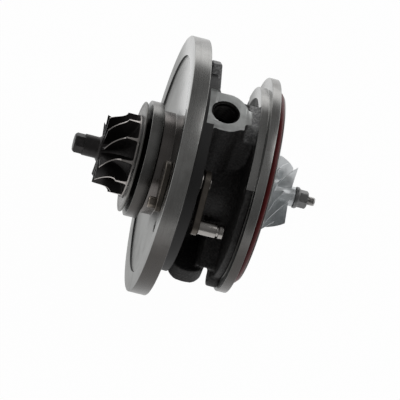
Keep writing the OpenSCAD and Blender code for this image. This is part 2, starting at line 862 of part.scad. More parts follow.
module oil_drain_cuts() {
    cavity_x = bush_x + bush_len + 1.5;
    translate([drain_x, 0, -drain_z - 1])
        cylinder(d = drain_d, h = drain_z - chute_z - 3);
    bar_x(cavity_x, core_d - 10, bush_2_x - 1.5 - cavity_x);
    translate([cavity_x, -chute_w / 2, -drain_z / 2])
        cube([x_thrust - cavity_x + 1, chute_w, drain_z / 2 - chute_z]);
    drilling([(x_journal + slinger_end) / 2, -slinger_r + 2], [cavity_x + 2, -chute_z - 4], drill_d + 2);
    for (side = [-1, 1])
        translate([drain_x, side * drain_pitch / 2, -drain_z - 1])
            cylinder(d = drain_bolt_d, h = drain_bolt_h + 1);
}

module bearing_housing() {
    color("#3a3836")
    difference() {
        union() {
            housing_turning();
            inlet_boss();
            drain_neck();
            cast_lugs();
            translate([0, pivot_y, pivot_z])
                bar_x(flange_t - 1, bush_boss_d, bush_boss_t + 1);
        }
        translate([0, 0, inlet_z])
            linear_extrude(flange_d / 2)
                inlet_outline();
        shaft_bores();
        oil_inlet_cuts();
        oil_drain_cuts();
        translate([0, pivot_y, pivot_z])
            bar_x(x_floor - 1, lever_bush_d + 2 * seat_clear, x_bush_end - x_floor + 2);
        spoke(dowel_el)
            translate([0, 0, dowel_r])
                bar_x(x_floor - 1, dowel_d, dowel_h + 1);
        spoke(notch_el)
            translate([x_step - 1, -step_d / 2, notch_r])
                cube([step_t + 1, step_d, step_d / 4]);
    }
}

// Nozzle lever: crank on the flange floor, shaft through the bush, lever behind the flange
module at_pivot() {
    translate([0, pivot_y, pivot_z])
        children();
}

// Moves a shape from the pivot to a pin this far along the lever's direction
module at_pin(len) {
    at_pivot()
        translate([0, -len * cos(lever_el), -len * sin(lever_el)])
            children();
}

// Flat arm with round ends, tapering from the pivot to the pin
module tapered_arm(x, t, len, hub_d, end_d, hub_bore, end_bore) {
    lean = asin((hub_d - end_d) / (2 * len));
    hub_r = hub_d / 2;
    end_r = end_d / 2;
    at_pivot()
        rotate([lever_el, 0, 0])
            difference() {
                union() {
                    bar_x(x, hub_d, t);
                    translate([0, -len, 0])
                        bar_x(x, end_d, t);
                    translate([x, 0, 0])
                        rotate([90, 0, 90])
                            linear_extrude(t)
                                polygon([
                                    [-hub_r * sin(lean), hub_r * cos(lean)],
                                    [-len - end_r * sin(lean), end_r * cos(lean)],
                                    [-len - end_r * sin(lean), -end_r * cos(lean)],
                                    [-hub_r * sin(lean), -hub_r * cos(lean)]
                                ]);
                }
                bar_x(x - eps, hub_bore, t + 2 * eps);
                translate([0, -len, 0])
                    bar_x(x - eps, end_bore, t + 2 * eps);
            }
}

module lever_bush() {
    color("#c6c3bd")
    at_pivot()
        ring_x(x_floor, lever_bush_d, lever_shaft_d + 2 * lever_clear, x_bush_end - x_floor);
}

module lever_shaft() {
    color("#9b9894")
    at_pivot() {
        bar_x(x_crank + crank_t, lever_shaft_d, x_lever - x_crank - crank_t);
        bar_x(x_crank, tenon_d, x_lever_out - x_crank + 0.6);
    }
}

module outer_lever() {
    color("#6b635c")
    tapered_arm(x_lever, lever_t, lever_len, lever_hub_d, lever_end_d,
        tenon_d + 2 * seat_clear, lever_pin_d - 2 + 2 * seat_clear);
}

module lever_pin() {
    r = lever_pin_d / 2;
    x_head = x_lever_out + lever_pin_len - pin_head;
    x_groove = x_head - pin_groove_w;
    x_end = x_lever_out + lever_pin_len;
    color("#c9c4be")
    at_pin(lever_len)
        turned([
            [0, x_lever], [r - 1, x_lever], [r - 1, x_lever_out], [r, x_lever_out], [r, x_groove],
            [r - pin_groove_h, x_groove], [r - pin_groove_h, x_head], [r - 0.2, x_head],
            [r - 0.2, x_end - edge], [r - 0.2 - edge, x_end], [0, x_end]
        ]);
}

module inner_crank() {
    color("#5d534b")
    tapered_arm(x_crank, crank_t, crank_len, crank_hub_d, crank_end_d,
        tenon_d + 2 * seat_clear, crank_pin_d - 1 + 2 * seat_clear);
}

module crank_pin() {
    r = crank_pin_d / 2;
    x_end = x_crank - crank_pin_len;
    color("#8c857e")
    at_pin(crank_len)
        turned([
            [0, x_end], [r - edge, x_end], [r, x_end + edge], [r, x_crank],
            [r - edge, x_crank], [r - edge, x_crank + crank_t], [0, x_crank + crank_t]
        ]);
}

bearing_housing();
heat_shield();
turbine_wheel();
rotor_shaft();
turbine_seal_ring();
turbine_bearing();
compressor_bearing();
bearing_circlips();
thrust_washer();
thrust_collar();
thrust_bearing();
oil_deflector();
oil_flinger();
compressor_seal_rings();
seal_plate();
seal_plate_o_ring();
seal_plate_circlip();
flange_o_ring();
compressor_wheel();
lock_nut();
lever_bush();
lever_shaft();
outer_lever();
lever_pin();
inner_crank();
crank_pin();
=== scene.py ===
"""Looks of the turbo cartridge: the finish of every piece, and finer meshes for the pieces that show."""

import json
import math

import bmesh
import bpy
from bpy.props import FloatProperty, FloatVectorProperty, IntProperty, PointerProperty
from mathutils import Matrix, Vector, noise


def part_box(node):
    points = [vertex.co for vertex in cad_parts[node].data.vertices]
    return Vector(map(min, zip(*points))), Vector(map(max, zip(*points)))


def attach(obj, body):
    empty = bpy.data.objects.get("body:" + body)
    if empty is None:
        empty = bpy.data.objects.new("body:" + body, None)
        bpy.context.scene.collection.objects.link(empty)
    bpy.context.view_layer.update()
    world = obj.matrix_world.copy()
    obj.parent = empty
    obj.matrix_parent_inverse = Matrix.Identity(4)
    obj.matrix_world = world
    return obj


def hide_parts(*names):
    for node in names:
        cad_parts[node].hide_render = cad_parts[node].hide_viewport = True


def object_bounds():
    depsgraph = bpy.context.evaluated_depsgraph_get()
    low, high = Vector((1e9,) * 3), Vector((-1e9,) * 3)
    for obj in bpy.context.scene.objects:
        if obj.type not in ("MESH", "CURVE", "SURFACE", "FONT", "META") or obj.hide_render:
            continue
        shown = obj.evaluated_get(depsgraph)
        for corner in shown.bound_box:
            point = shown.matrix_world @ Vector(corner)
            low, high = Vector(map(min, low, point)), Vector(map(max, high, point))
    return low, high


bl_info = {
    "name": "Turbo Cartridge",
    "version": (1, 0, 0),
    "blender": (4, 5, 0),
    "location": "3D View > Sidebar > Cartridge",
    "description": "Dresses a turbo cartridge with its castings, turned faces, wheels and seals",
    "category": "Object",
}

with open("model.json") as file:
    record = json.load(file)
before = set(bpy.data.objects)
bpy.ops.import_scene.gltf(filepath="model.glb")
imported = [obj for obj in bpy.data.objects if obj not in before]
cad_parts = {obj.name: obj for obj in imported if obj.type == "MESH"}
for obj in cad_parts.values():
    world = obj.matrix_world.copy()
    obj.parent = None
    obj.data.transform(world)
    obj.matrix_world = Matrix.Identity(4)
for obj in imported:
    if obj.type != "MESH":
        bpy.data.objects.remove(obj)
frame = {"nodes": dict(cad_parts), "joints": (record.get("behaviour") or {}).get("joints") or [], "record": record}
CAD_BOX = [list(corner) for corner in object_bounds()]
MOUNTS = {mount["name"]: mount for mount in frame["record"]["mounts"]}
MM = 0.001
ALONG, UP, DOWN = (1, 0, 0), (0, 0, 1), (0, 0, -1)


def mount_place(name):
    """The place of a mount, in metres."""
    return Vector(MOUNTS[name]["pos_m"])


def mount_size(name, key):
    """One size of a mount, in metres."""
    return MOUNTS[name]["dims"][key] * MM


def span(node, axis=0):
    """Lowest and highest coordinate of a CAD node along one axis."""
    low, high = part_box(node)
    return low[axis], high[axis]


def reach(node):
    """Largest distance of a turned CAD node from the shaft."""
    return span(node, 1)[1]


def centre_of(node):
    """The middle of a CAD node."""
    low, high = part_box(node)
    return (Vector(low) + Vector(high)) / 2


# Sizes and colours


def number(name, description, default, **kind):
    """A number that a user can change."""
    return FloatProperty(name=name, description=description, default=default, **kind)


def length(name, description, millimetres):
    """A length that a user can change, with its default in millimetres."""
    return number(name, description, millimetres * MM, unit="LENGTH")


def angle(name, description, degrees):
    """An angle that a user can change, with its default in degrees."""
    return number(name, description, math.radians(degrees), subtype="ANGLE")


def colour(name, description, red, green, blue):
    """A colour that a user can change."""
    return FloatVectorProperty(
        name=name, description=description, subtype="COLOR", size=3, min=0, max=1,
        default=(red, green, blue))


class HousingSizes(bpy.types.PropertyGroup):
    """Sizes of the bearing housing."""

    edge: length("Broken edge", "Radius left on the edges of turned faces", 0.3)
    grain: length("Casting grain", "Size of the smallest form on the sand-cast skin", 0.55)
    skin_depth: length("Skin depth", "Height of the sand-cast skin's unevenness", 0.16)
    proud: length("Proud", "How far turned faces stand over the cast skin", 0.05)
    core: length("Core", "Radius inside which the turbine flange is left open", 7)
    recess: length("Recess", "Radius of the recess in the turbine flange", 48.2)
    recess_wall: length("Recess wall", "Depth of the recess at its wall", 0.9)
    recess_slope: length("Recess slope", "Width over which the recess floor rises to its wall", 5)
    root: length("Flange root", "Radius of the hub behind the clamp rim", 44.5)
    flange_back: length("Flange back", "Place of the turbine flange's back along the shaft", 14)
    spigot: length("Spigot", "Radius of the spigot behind the nozzle seat", 22.6)
    spigot_groove: length("Spigot groove", "Width of the groove behind the nozzle seat", 0.7)
    groove_depth: length("Groove depth", "Depth of that groove", 1.1)
    step: length("Step", "Radius of the step behind the compressor rim", 42.6)
    step_face: length("Step face", "Place of the step's face along the shaft", 33.7)
    step_bore: length("Step bore", "Radius inside which the step's face is left as cast", 37)
    step_low: length("Step low", "Height below which the step is left as cast", 10)
    pilot: length("Pilot", "Radius of the compressor pilot", 41.5)
    notch: length("Notch", "Distance from the shaft to the floor of the pocket for the lever pin", 38.2)
    notch_width: length("Notch width", "Width of that pocket", 22.6)
    notch_angle: angle("Notch angle", "Direction of that pocket above the horizontal", 29.6)
    inlet_rise: length("Inlet rise", "Height of the oil inlet's milled face over its mount", 0.8)
    inlet_pitch: length("Inlet pitch", "Pitch of the thread in the oil inlet", 1.5)


class WheelSizes(bpy.types.PropertyGroup):
    """Sizes of the two wheels, the nut and the stud end."""

    turbine_blades: IntProperty(
        name="Turbine blades", description="Number of blades on the turbine wheel", default=11)
    turbine_outlet: length("Turbine outlet", "Radius over the blade tips where the gas leaves", 15)
    turbine_inlet: length("Turbine inlet", "Radius over the blade tips where the gas enters", 18)
    turbine_twist: angle("Turbine twist", "Turn of the blades between inlet and outlet", 24)
    turbine_phase: angle("Turbine phase", "Where the first turbine blade stands", 40)
    turbine_length: length("Turbine length", "Length of the turbine blades along the shaft", 13.1)
    turbine_tip: length("Turbine tip height", "Height of the turbine blades at the inlet", 5)
    turbine_disc: length("Turbine disc", "Thickness of the turbine's back disc at its rim", 0.6)
    turbine_weld: length("Turbine weld", "Radius of the weld boss behind the back disc", 6.5)
    turbine_nose: length("Turbine nose", "Radius of the turbine's nose", 4.7)
    turbine_grip: length("Grip", "Half the width across corners of the hexagon on the nose", 4.45)
    turbine_grip_length: length("Grip length", "Length of the hexagon on the nose", 4.4)
    compressor_blades: IntProperty(
        name="Compressor blades", description="Number of full blades, each with a splitter", default=6)
    compressor_inlet: length("Compressor inlet", "Radius over the blade tips where the air enters", 14.3)
    compressor_wrap: angle("Compressor wrap", "Turn of the blades at the inlet", 52)
    compressor_sweep: angle("Compressor backsweep", "Turn of the blades at the outlet", 26)
    compressor_length: length("Compressor length", "Length of the full blades along the shaft", 12.2)
    compressor_tip: length("Compressor tip height", "Height of the blades at the outlet", 2.4)
    compressor_disc: length("Compressor disc", "Thickness of the back disc at its rim", 0.8)
    compressor_nose: length("Compressor nose", "Radius of the nose under the nut", 4.3)
    blade_start: number("Blade start", "Share of the passage before the full blades start", 0.004)
    splitter_start: number("Splitter start", "Share of the passage before the splitters start", 0.32)
    lip: length("Disc lip", "How far the back discs reach past the blades", 0.3)
    journal: length("Journal", "Radius of the shaft in its bearings", 3.5)
    stub: length("Stub", "Radius of the shaft inside the compressor wheel", 2.2)
    stud: length("Stud", "Radius over the thread of the stud end", 2)
    pitch: length("Thread pitch", "Pitch of the stud's thread", 0.5)
    nut_hexagon: length("Nut hexagon", "Half the width across corners of the nut's hexagon", 4)
    nut_hexagon_height: length("Hexagon height", "Height of the nut's hexagon", 3.8)


class LeverSizes(bpy.types.PropertyGroup):
    """Sizes of the nozzle lever."""

    journal: length("Lever journal", "Radius of the lever shaft in its bush", 3.5)
    bush_bore: length("Bush bore", "Radius of the hole in the lever bush", 3.55)
    tenon: length("Tenon", "Radius of the lever shaft's two ends", 2.9)
    hub: length("Hub", "Radius of both arms round the lever shaft", 5.5)
    lever_end: length("Lever end", "Radius of the outer lever round its pin", 4)
    crank_end: length("Crank end", "Radius of the inner crank round its pin", 3.5)
    pin_head: length("Pin head", "Length of the lever pin's head", 2.4)
    pin_groove: length("Pin groove", "Width of the groove under that head", 1)
    fit: length("Fit", "Gap round pressed pieces", 0.02)
    edge: length("Pin edge", "Radius left on the edges of pins", 0.2)


class CartridgeColours(bpy.types.PropertyGroup):
    """Base colours of the finishes."""

    cast_skin: colour("Cast skin", "Black skin of the bearing housing", 0.016, 0.015, 0.015)
    cast_scuff: colour("Cast scuff", "High points of the skin", 0.075, 0.072, 0.07)
    # Painted light: pale grey painted on the clamp lug and the inlet ramp, as if lit.
    cast_lit_patch: colour("Cast lit patch", "Painted light on the clamp lug and the inlet ramp", 0.5, 0.5, 0.5)
    turned: colour("Turned iron", "Machined faces of the housing", 0.24, 0.243, 0.236)
    turned_side: colour("Turned side", "Turned diameters of the housing", 0.3, 0.298, 0.29)
    # Painted shade on the lower turned diameters; the broad tool bands take this colour too.
    bands_and_low_shade: colour("Low shade and bands", "Painted shade on turned diameters low down, and the tone of the broad tool bands", 0.075, 0.071, 0.068)
    neck: colour("Neck", "Neck behind the nozzle seat, browned by heat", 0.15, 0.138, 0.132)
    turned_stain: colour("Stain", "Oil and handling stains on machined faces", 0.07, 0.06, 0.055)
    milled: colour("Milled face", "Milled oil inlet face", 0.62, 0.635, 0.625)
    turbine: colour("Turbine alloy", "Cast skin of the turbine wheel", 0.022, 0.02, 0.02)
    ground_tip: colour("Ground tip", "Ground tips of the turbine blades", 0.5, 0.47, 0.45)
    aluminium: colour("Aluminium", "Milled compressor wheel", 0.6, 0.62, 0.63)
    sheet: colour("Sheet steel", "Pressed heat shield", 0.13, 0.127, 0.12)
    steel: colour("Ground steel", "Shaft, rings and plates", 0.5, 0.49, 0.48)
    pin: colour("Pin steel", "Turned pins and bush", 0.34, 0.325, 0.31)
    lever: colour("Lever steel", "Lever and crank with their heat tint", 0.1, 0.088, 0.076)
    nut: colour("Nut steel", "Phosphated nut", 0.16, 0.16, 0.16)
    bronze: colour("Bronze", "Floating bushes and thrust bearing", 0.55, 0.37, 0.16)
    red_rubber: colour("Red rubber", "Ring on the compressor pilot", 0.1, 0.006, 0.007)
    black_rubber: colour("Black rubber", "Ring on the seal plate", 0.02, 0.02, 0.02)
    floor: colour("Floor", "Pale floor", 0.9, 0.9, 0.9)


class StageSettings(bpy.types.PropertyGroup):
    """Camera and lights."""

    azimuth: angle("Azimuth", "Direction of the camera round the object", -10.87)
    elevation: angle("Elevation", "Height of the camera above the horizon", 48.05)
    roll: angle("Roll", "Turn of the camera about its own axis", 22.22)
    distance: length("Distance", "Distance of the camera from the object", 2730)
    frame_width: length("Frame width", "Width of the picture at the object", 172.94)
    aim_right: length("Aim right", "How far the picture's centre lies right of the origin", 17.45)
    aim_down: length("Aim down", "How far the picture's centre lies below the origin", 15.86)
    floor_drop: length("Floor drop", "Gap between the object and the floor", 2)
    room: number("Room light", "Strength of the light from all round", 0.2)
    backdrop: number("Backdrop", "Strength of the light from the low pale wall behind", 1.8)
    key: number("Top light", "Power of the soft light above and behind", 3, unit="POWER")
    fill: number("Side light", "Power of the soft light at the side", 1.5, unit="POWER")
    ceiling: number("Ceiling light", "Power of the wide soft light overhead", 0.6, unit="POWER")
    glow: number("Floor glow", "Share of plain white in the floor that the camera sees", 0.98)


def group(name):
    """One group of settings: housing, wheels, lever, colours or stage."""
    return getattr(bpy.context.scene, "cartridge_" + name)


# Shader maths


class Signal:
    """A shader socket that Python's operators work on: each one adds a Math node."""

    def __init__(self, finish, socket):
        self.finish = finish
        self.socket = socket

    def maths(self, operation, *values):
        """A Math node with this signal as its first input."""
        inputs = dict(enumerate((self, *values)))
        return self.finish.add("ShaderNodeMath", {"operation": operation}, inputs)

    def __add__(self, other):
        return self.maths("ADD", other)

    def __sub__(self, other):
        return self.maths("SUBTRACT", other)

    def __rsub__(self, other):
        return self.finish.add("ShaderNodeMath", {"operation": "SUBTRACT"}, {0: other, 1: self})

    def __mul__(self, other):
        return self.maths("MULTIPLY", other)

    def __pow__(self, other):
        return self.maths("POWER", other)

    __radd__ = __add__
    __rmul__ = __mul__

    def size(self):
        """The signal without its sign."""
        return self.maths("ABSOLUTE")

    def step(self, low, high):
        """0 below low, 1 above high, and smooth between them."""
        settings = {"interpolation_type": "SMOOTHSTEP"}
        inputs = {"Value": self, "From Min": low, "From Max": high}
        return self.finish.add("ShaderNodeMapRange", settings, inputs)


class Nodes:
    """A node tree whose nodes all come from one method."""

    def __init__(self, tree):
        self.tree = tree

    def add(self, kind, settings=None, inputs=None, output=0):
        """A node of this kind, with its settings, then its inputs, as a signal of one output."""
        node = self.tree.nodes.new(kind)
        for key, value in (settings or {}).items():
            setattr(node, key, value)
        for key, value in (inputs or {}).items():
            if isinstance(value, Signal):
                self.tree.links.new(value.socket, node.inputs[key])
            else:
                node.inputs[key].default_value = value
        return Signal(self, node.outputs[output])

    def parts(self, vector):
        """The three parts of a vector."""
        return [self.add("ShaderNodeSeparateXYZ", inputs={0: vector}, output=axis) for axis in "XYZ"]


class Finish(Nodes):
    """A procedural material on one Principled shader, with its sizes in millimetres."""

    def __init__(self, name, axis=(0, 0, 0), **constants):
        self.material = bpy.data.materials.new(name)
        self.material.use_nodes = True
        super().__init__(self.material.node_tree)
        self.shader = self.tree.nodes["Principled BSDF"]
        for key, value in constants.items():
            self.socket(key).default_value = value
        self.place = self.add("ShaderNodeTexCoord", output="Object")
        self.x, self.y, self.z = self.parts(self.place)
        across, up = self.y - axis[1], self.z - axis[2]
        self.radius = (across * across + up * up) ** 0.5

    def socket(self, key):
        """The shader's socket for a key such as base_color."""
        return self.shader.inputs[key.replace("_", " ").title().replace("Ior", "IOR")]

    def facing(self):
        """1 on faces square to the shaft and 0 on turned diameters."""
        normal = self.add("ShaderNodeTexCoord", output="Normal")
        return self.parts(normal)[0].size().step(0.55, 0.9)

    def noise(self, size, detail=3.0, rough=0.55):
        """Cloudy noise from 0 to 1 with features of this size."""
        inputs = {"Vector": self.place, "Scale": 1 / (size * MM), "Detail": detail, "Roughness": rough}
        return self.add("ShaderNodeTexNoise", None, inputs)

    def bands(self, along, size):
        """Uneven bands along one distance, as a turning tool leaves them."""
        inputs = {"W": along, "Scale": 1 / (size * MM), "Detail": 2.0, "Roughness": 0.6}
        return self.add("ShaderNodeTexNoise", {"noise_dimensions": "1D"}, inputs)

    def pits(self, size):
        """Distance to the nearest of many scattered points."""
        return self.add("ShaderNodeTexVoronoi", None, {"Vector": self.place, "Scale": 1 / (size * MM)})

    def mix(self, factor, first, second):
        """A colour between two colours."""
        shade = [value if isinstance(value, Signal) else (*value, 1) for value in (first, second)]
        inputs = {"Factor": factor, 6: shade[0], 7: shade[1]}
        return self.add("ShaderNodeMix", {"data_type": "RGBA"}, inputs, output=2)

    def stain(self, base, pattern, low, high, share, shade):
        """A colour with a share of another where a pattern rises from low to high."""
        return self.mix(pattern.step(low, high) * share, base, shade)

    def bump(self, height, depth, strength):
        """A normal from a height, with this depth."""
        inputs = {"Height": height, "Distance": depth * MM, "Strength": strength}
        return self.add("ShaderNodeBump", None, inputs)

    def set(self, **signals):
        """Links signals to the shader's sockets and returns the material."""
        for key, signal in signals.items():
            self.tree.links.new(signal.socket, self.socket(key))
        return self.material

    def grained(self, base, grain, rough, spread, depth, strength=0.5):
        """The material with this colour, and a grain that shows in its roughness and its relief."""
        return self.set(base_color=base, roughness=rough + (grain - 0.5) * spread,
                        normal=self.bump(grain, depth, strength))


# Finishes


def cast_skin():
    """Black sand-cast iron: grainy, matt, with greyer high points and a trace of brown.

    The clamp lug and the ramp beside the oil inlet are painted grey: painted light, standing in for the light that
    falls on them.
    """
    c = group("colours")
    f = Finish("cast_skin", metallic=0.0, specular_ior_level=0.35)
    grains = f.pits(0.9)
    lumps = f.noise(2.6, 5.0, 0.62)
    high = (lumps * 0.7 + grains * 0.5).step(0.5, 0.85)
    shade = f.mix(high * 0.55, c.cast_skin, c.cast_scuff)
    shade = f.stain(shade, f.noise(14), 0.52, 0.8, 0.35, c.turned_stain * 0.2)
    # Painted light: the clamp lug and the ramp beside the oil inlet are painted grey, most on the high points, as
    # if lit.
    lug = f.y.step(14 * MM, 19 * MM) * f.z.step(22 * MM, 27 * MM)
    ramp = f.x.step(28 * MM, 30 * MM) * f.z.step(34 * MM, 38 * MM)
    worn = lug.maths("MAXIMUM", ramp) * (0.45 + high * 0.55)
    shade = f.mix(worn, shade, c.cast_lit_patch)
    height = lumps * 0.6 + grains * 0.4
    return f.set(base_color=shade, roughness=0.62 + (lumps - 0.5) * 0.3,
                 normal=f.bump(height, 0.35, 0.8))


def tool_marks(f, feed):
    """Patterns of a turned surface: fine bands, broad bands, clouds of oil and small marks."""
    across = f.radius + f.x * 0.83
    return f.bands(across, feed), f.bands(across, 2.4), f.noise(9, 4.0), f.noise(1.6, 4.0, 0.7)


def turned_metal(name, shade, stain, rough=0.34, stain_share=0.4, axis=(0, 0, 0)):
    """Turned metal: fine bands round its axis, stains from oil and hands, softly worn."""
    f = Finish(name, axis, metallic=1.0)
    fine, broad, cloud, marks = tool_marks(f, 0.35)
    base = f.stain(shade, cloud, 0.45, 0.75, stain_share, stain)
    base = f.mix((broad - 0.5).size() * 0.6, base, [channel * 0.78 for channel in shade])
    base = f.stain(base, marks, 0.62, 0.8, 0.25, stain)
    return f.grained(base, fine, rough + (cloud - 0.5) * 0.14, spread=0.16, depth=0.012)


def turned_iron():
    """Machined iron of the housing: faces as smooth as a mirror, diameters duller.

    The diameters are painted darker towards the bottom as painted shade, in the colour that the broad
    tool bands also take. Heat has browned the neck behind the nozzle seat. The back of the clamp rim is
    left black, and the recess wall is painted black as painted shade.
    """
    c, h = group("colours"), group("housing")
    f = Finish("turned_iron", metallic=1.0)
    fine, broad, cloud, marks = tool_marks(f, 0.3)
    face = f.facing()
    # Painted shade: the turned diameters are painted darker towards the bottom.
    low = 1 - (f.z + (cloud - 0.5) * (20 * MM)).step(5 * MM, 38 * MM)
    side = f.mix(low, c.turned_side, c.bands_and_low_shade)
    inside = 1 - f.radius.step(h.spigot + 0.3 * MM, h.spigot + 0.9 * MM)
    neck = (f.x.step(-5 * MM, -4 * MM) - f.x.step(6 * MM, 8 * MM)) * inside
    base = f.mix(face, f.mix(neck, side, c.neck), c.turned)
    rim_back = mount_size("turbine_flange", "length_mm")
    behind = f.x.step(rim_back + 0.1 * MM, rim_back + 0.5 * MM) * (1 - f.x.step(16 * MM, 17 * MM))
    back = behind * f.radius.step(h.root - 3 * MM, h.root - 2 * MM)
    # Painted shade: the recess wall is painted black, with its metal turned off, where it lies in shadow; dark
    # carries it together with the black back of the clamp rim.
    wall = (1 - (f.radius - h.recess).size().step(0.1 * MM, 0.3 * MM)) * (1 - face)
    dark = back.maths("MAXIMUM", wall)
    base = f.stain(base, cloud, 0.45, 0.75, 0.3, c.turned_stain)
    base = f.mix((broad - 0.5).size() * 0.4, base, c.bands_and_low_shade)
    base = f.stain(base, marks, 0.62, 0.8, 0.25, c.turned_stain)
    base = f.mix(dark, base, c.cast_skin * 0.5)
    rough = 0.28 - face * (0.15 - low * 0.3) + (fine - 0.5) * 0.1 + (cloud - 0.5) * 0.08
    return f.set(base_color=base, roughness=rough + dark * 0.35, metallic=1 - dark,
                 normal=f.bump(fine, 0.006, 0.5))


def milled_face():
    """Milled iron: arcs of the face cutter across a pale grey flat."""
    c = group("colours")
    f = Finish("milled_face", metallic=0.75)
    cutter_x, cutter_y = -60 * MM, -20 * MM
    arcs = f.bands(((f.x - cutter_x) ** 2 + (f.y - cutter_y) ** 2) ** 0.5, 0.5)
    base = f.stain(c.milled, f.noise(5, 4.0), 0.4, 0.8, 0.4, c.turned_stain)
    base = f.mix((arcs - 0.5).size(), base, c.milled * 0.7)
    return f.grained(base, arcs, rough=0.42, spread=0.2, depth=0.012)


def turbine_skin():
    """Investment-cast turbine alloy: fine dark skin, a little shiny, with soot."""
    shade = group("colours").turbine
    f = Finish("turbine_skin", metallic=0.6)
    base = f.stain(shade, f.noise(5), 0.4, 0.75, 0.6, shade * 2.1)
    grain = f.noise(0.5, 4.0, 0.65)
    return f.grained(base, grain, rough=0.46, spread=0.25, depth=0.03, strength=0.6)


def ground_tip():
    """Ground edge of a turbine blade: bright, with fine scratches."""
    shade = group("colours").ground_tip
    f = Finish("ground_tip", metallic=1.0)
    scratch = f.noise(0.3)
    base = f.stain(shade, scratch, 0.4, 0.7, 0.5, shade * 0.55)
    return f.set(base_color=base, roughness=0.34 + (scratch - 0.5) * 0.2)


def milled_aluminium():
    """Point-milled aluminium: bright, with rows of cutter marks along the blades."""
    shade = group("colours").aluminium
    f = Finish("milled_aluminium", metallic=0.45)
    cloud = f.noise(4)
    base = f.stain(shade, cloud, 0.45, 0.8, 0.3, shade * 0.8)
    rows = f.bands(f.radius + f.x, 0.42)
    return f.grained(base, rows, rough=0.34 + (cloud - 0.5) * 0.1, spread=0.12, depth=0.02)


def rubber(name, shade, rough):
    """Moulded rubber: smooth, with dust and a slightly paler bloom."""
    f = Finish(name, metallic=0.0, specular_ior_level=0.25)
    bloom = f.noise(3, 4.0)
    base = f.stain(shade, bloom, 0.45, 0.8, 0.45, [min(1, v * 1.7 + 0.006) for v in shade])
    return f.set(base_color=base, roughness=rough + (bloom - 0.5) * 0.2,
                 normal=f.bump(f.noise(0.4), 0.02, 0.4))


def tinted_steel():
    """Lever steel with straw and brown heat tints, darker where it was stamped."""
    shade = group("colours").lever
    f = Finish("tinted_steel", metallic=0.85)
    grain = f.noise(0.6, 4.0, 0.7)
    base = f.stain(shade, f.noise(6, 4.0), 0.4, 0.7, 1.0, shade * 1.5)
    base = f.stain(base, grain, 0.55, 0.8, 0.4, shade * 0.5)
    return f.grained(base, grain, rough=0.42, spread=0.3, depth=0.04)


def pressed_sheet():
    """Pressed sheet steel: satin, with drawing marks round the dish."""
    shade = group("colours").sheet
    f = Finish("pressed_sheet", metallic=1.0)
    base = f.stain(shade, f.noise(5), 0.4, 0.75, 0.5, shade * 0.6)
    return f.grained(base, f.bands(f.radius, 0.6), rough=0.36, spread=0.15, depth=0.015)


def phosphated():
    """Phosphated steel: grey crystals, matt."""
    shade = group("colours").nut
    f = Finish("phosphated", metallic=0.8)
    base = f.stain(shade, f.noise(2), 0.4, 0.7, 0.5, shade * 0.6)
    return f.grained(base, f.pits(0.25), rough=0.355, spread=0.15, depth=0.01, strength=0.4)


# Meshes


def turns(count):
    """Angles of equal steps round a circle."""
    return [2 * math.pi * k / count for k in range(count)]


def round_shaft(x, r, a):
    """The point at a place along the shaft, a radius and an angle."""
    return x, -r * math.cos(a), r * math.sin(a)


def rounded(outline, radius, steps=3, loop=False):
    """An outline of 2-D points with each corner turned into an arc."""
    count = len(outline)
    made = []
    for i, point in enumerate(outline):
        corner = Vector(point)
        if not loop and i in (0, count - 1):
            made.append(corner)
            continue
        before = Vector(outline[i - 1]) - corner
        after = Vector(outline[(i + 1) % count]) - corner
        turn = math.pi - before.angle(after)
        cut_back = min(radius * math.tan(turn / 2), before.length * 0.45, after.length * 0.45)
        if turn < 0.2 or cut_back < 1e-6:
            made.append(corner)
            continue
        start = corner + before.normalized() * cut_back
        end = corner + after.normalized() * cut_back
        for step in range(steps + 1):
            t = step / steps
            made.append((1 - t) ** 2 * start + 2 * t * (1 - t) * corner + t * t * end)
    return [(p.x, p.y) for p in made]


class Shape:
    """Points and faces that grow piece by piece, with a material number for each face."""

    def __init__(self):
        self.points, self.faces, self.marks = [], [], []

    def grid(self, rows, mark=0, close_rows=False, close_columns=False, caps=False):
        """Faces between rows of points, and over the first and last row where caps are asked for."""
        first = len(self.points)
        width = len(rows[0])
        for row in rows:
            self.points.extend(row)
        for i in range(len(rows) if close_rows else len(rows) - 1):
            a, b = i * width, ((i + 1) % len(rows)) * width
            for j in range(width if close_columns else width - 1):
                k = (j + 1) % width
                self.faces.append(tuple(first + n for n in (a + j, a + k, b + k, b + j)))
        if caps:
            last = len(self.points) - width
            self.faces += [tuple(range(start, start + width)) for start in (first, last)]
        self.marks += [mark] * (len(self.faces) - len(self.marks))

    def lathe(self, outline, segments=160, loop=False, mark=0):
        """A turned surface round the shaft, from points of place along the shaft and radius."""
        rows = [[round_shaft(x, r, a) for a in turns(segments)] for x, r in outline]
        self.grid(rows, mark, close_rows=loop, close_columns=True)

    def piece(self, name, materials, body=None, slot=None, sharp=35):
        """Makes the object, with its faces turned outwards, and lets it ride on its body."""
        mesh = bpy.data.meshes.new(name)
        mesh.from_pydata(self.points, [], self.faces)
        for polygon, mark in zip(mesh.polygons, self.marks):
            polygon.material_index = mark
        tidy = bmesh.new()
        tidy.from_mesh(mesh)
        bmesh.ops.remove_doubles(tidy, verts=tidy.verts, dist=1e-7)
        bmesh.ops.dissolve_degenerate(tidy, edges=tidy.edges, dist=1e-7)
        bmesh.ops.recalc_face_normals(tidy, faces=tidy.faces)
        tidy.to_mesh(mesh)
        tidy.free()
        item = bpy.data.objects.new(name, mesh)
        bpy.context.scene.collection.objects.link(item)
        for material in materials:
            mesh.materials.append(material)
        smooth(mesh, sharp)
        if body:
            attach(item, body)
        return item


def smooth(mesh, sharp):
    """Smooth shading, with edges over this many degrees left sharp."""
    mesh.shade_smooth()
    mesh.set_sharp_from_angle(angle=math.radians(sharp))


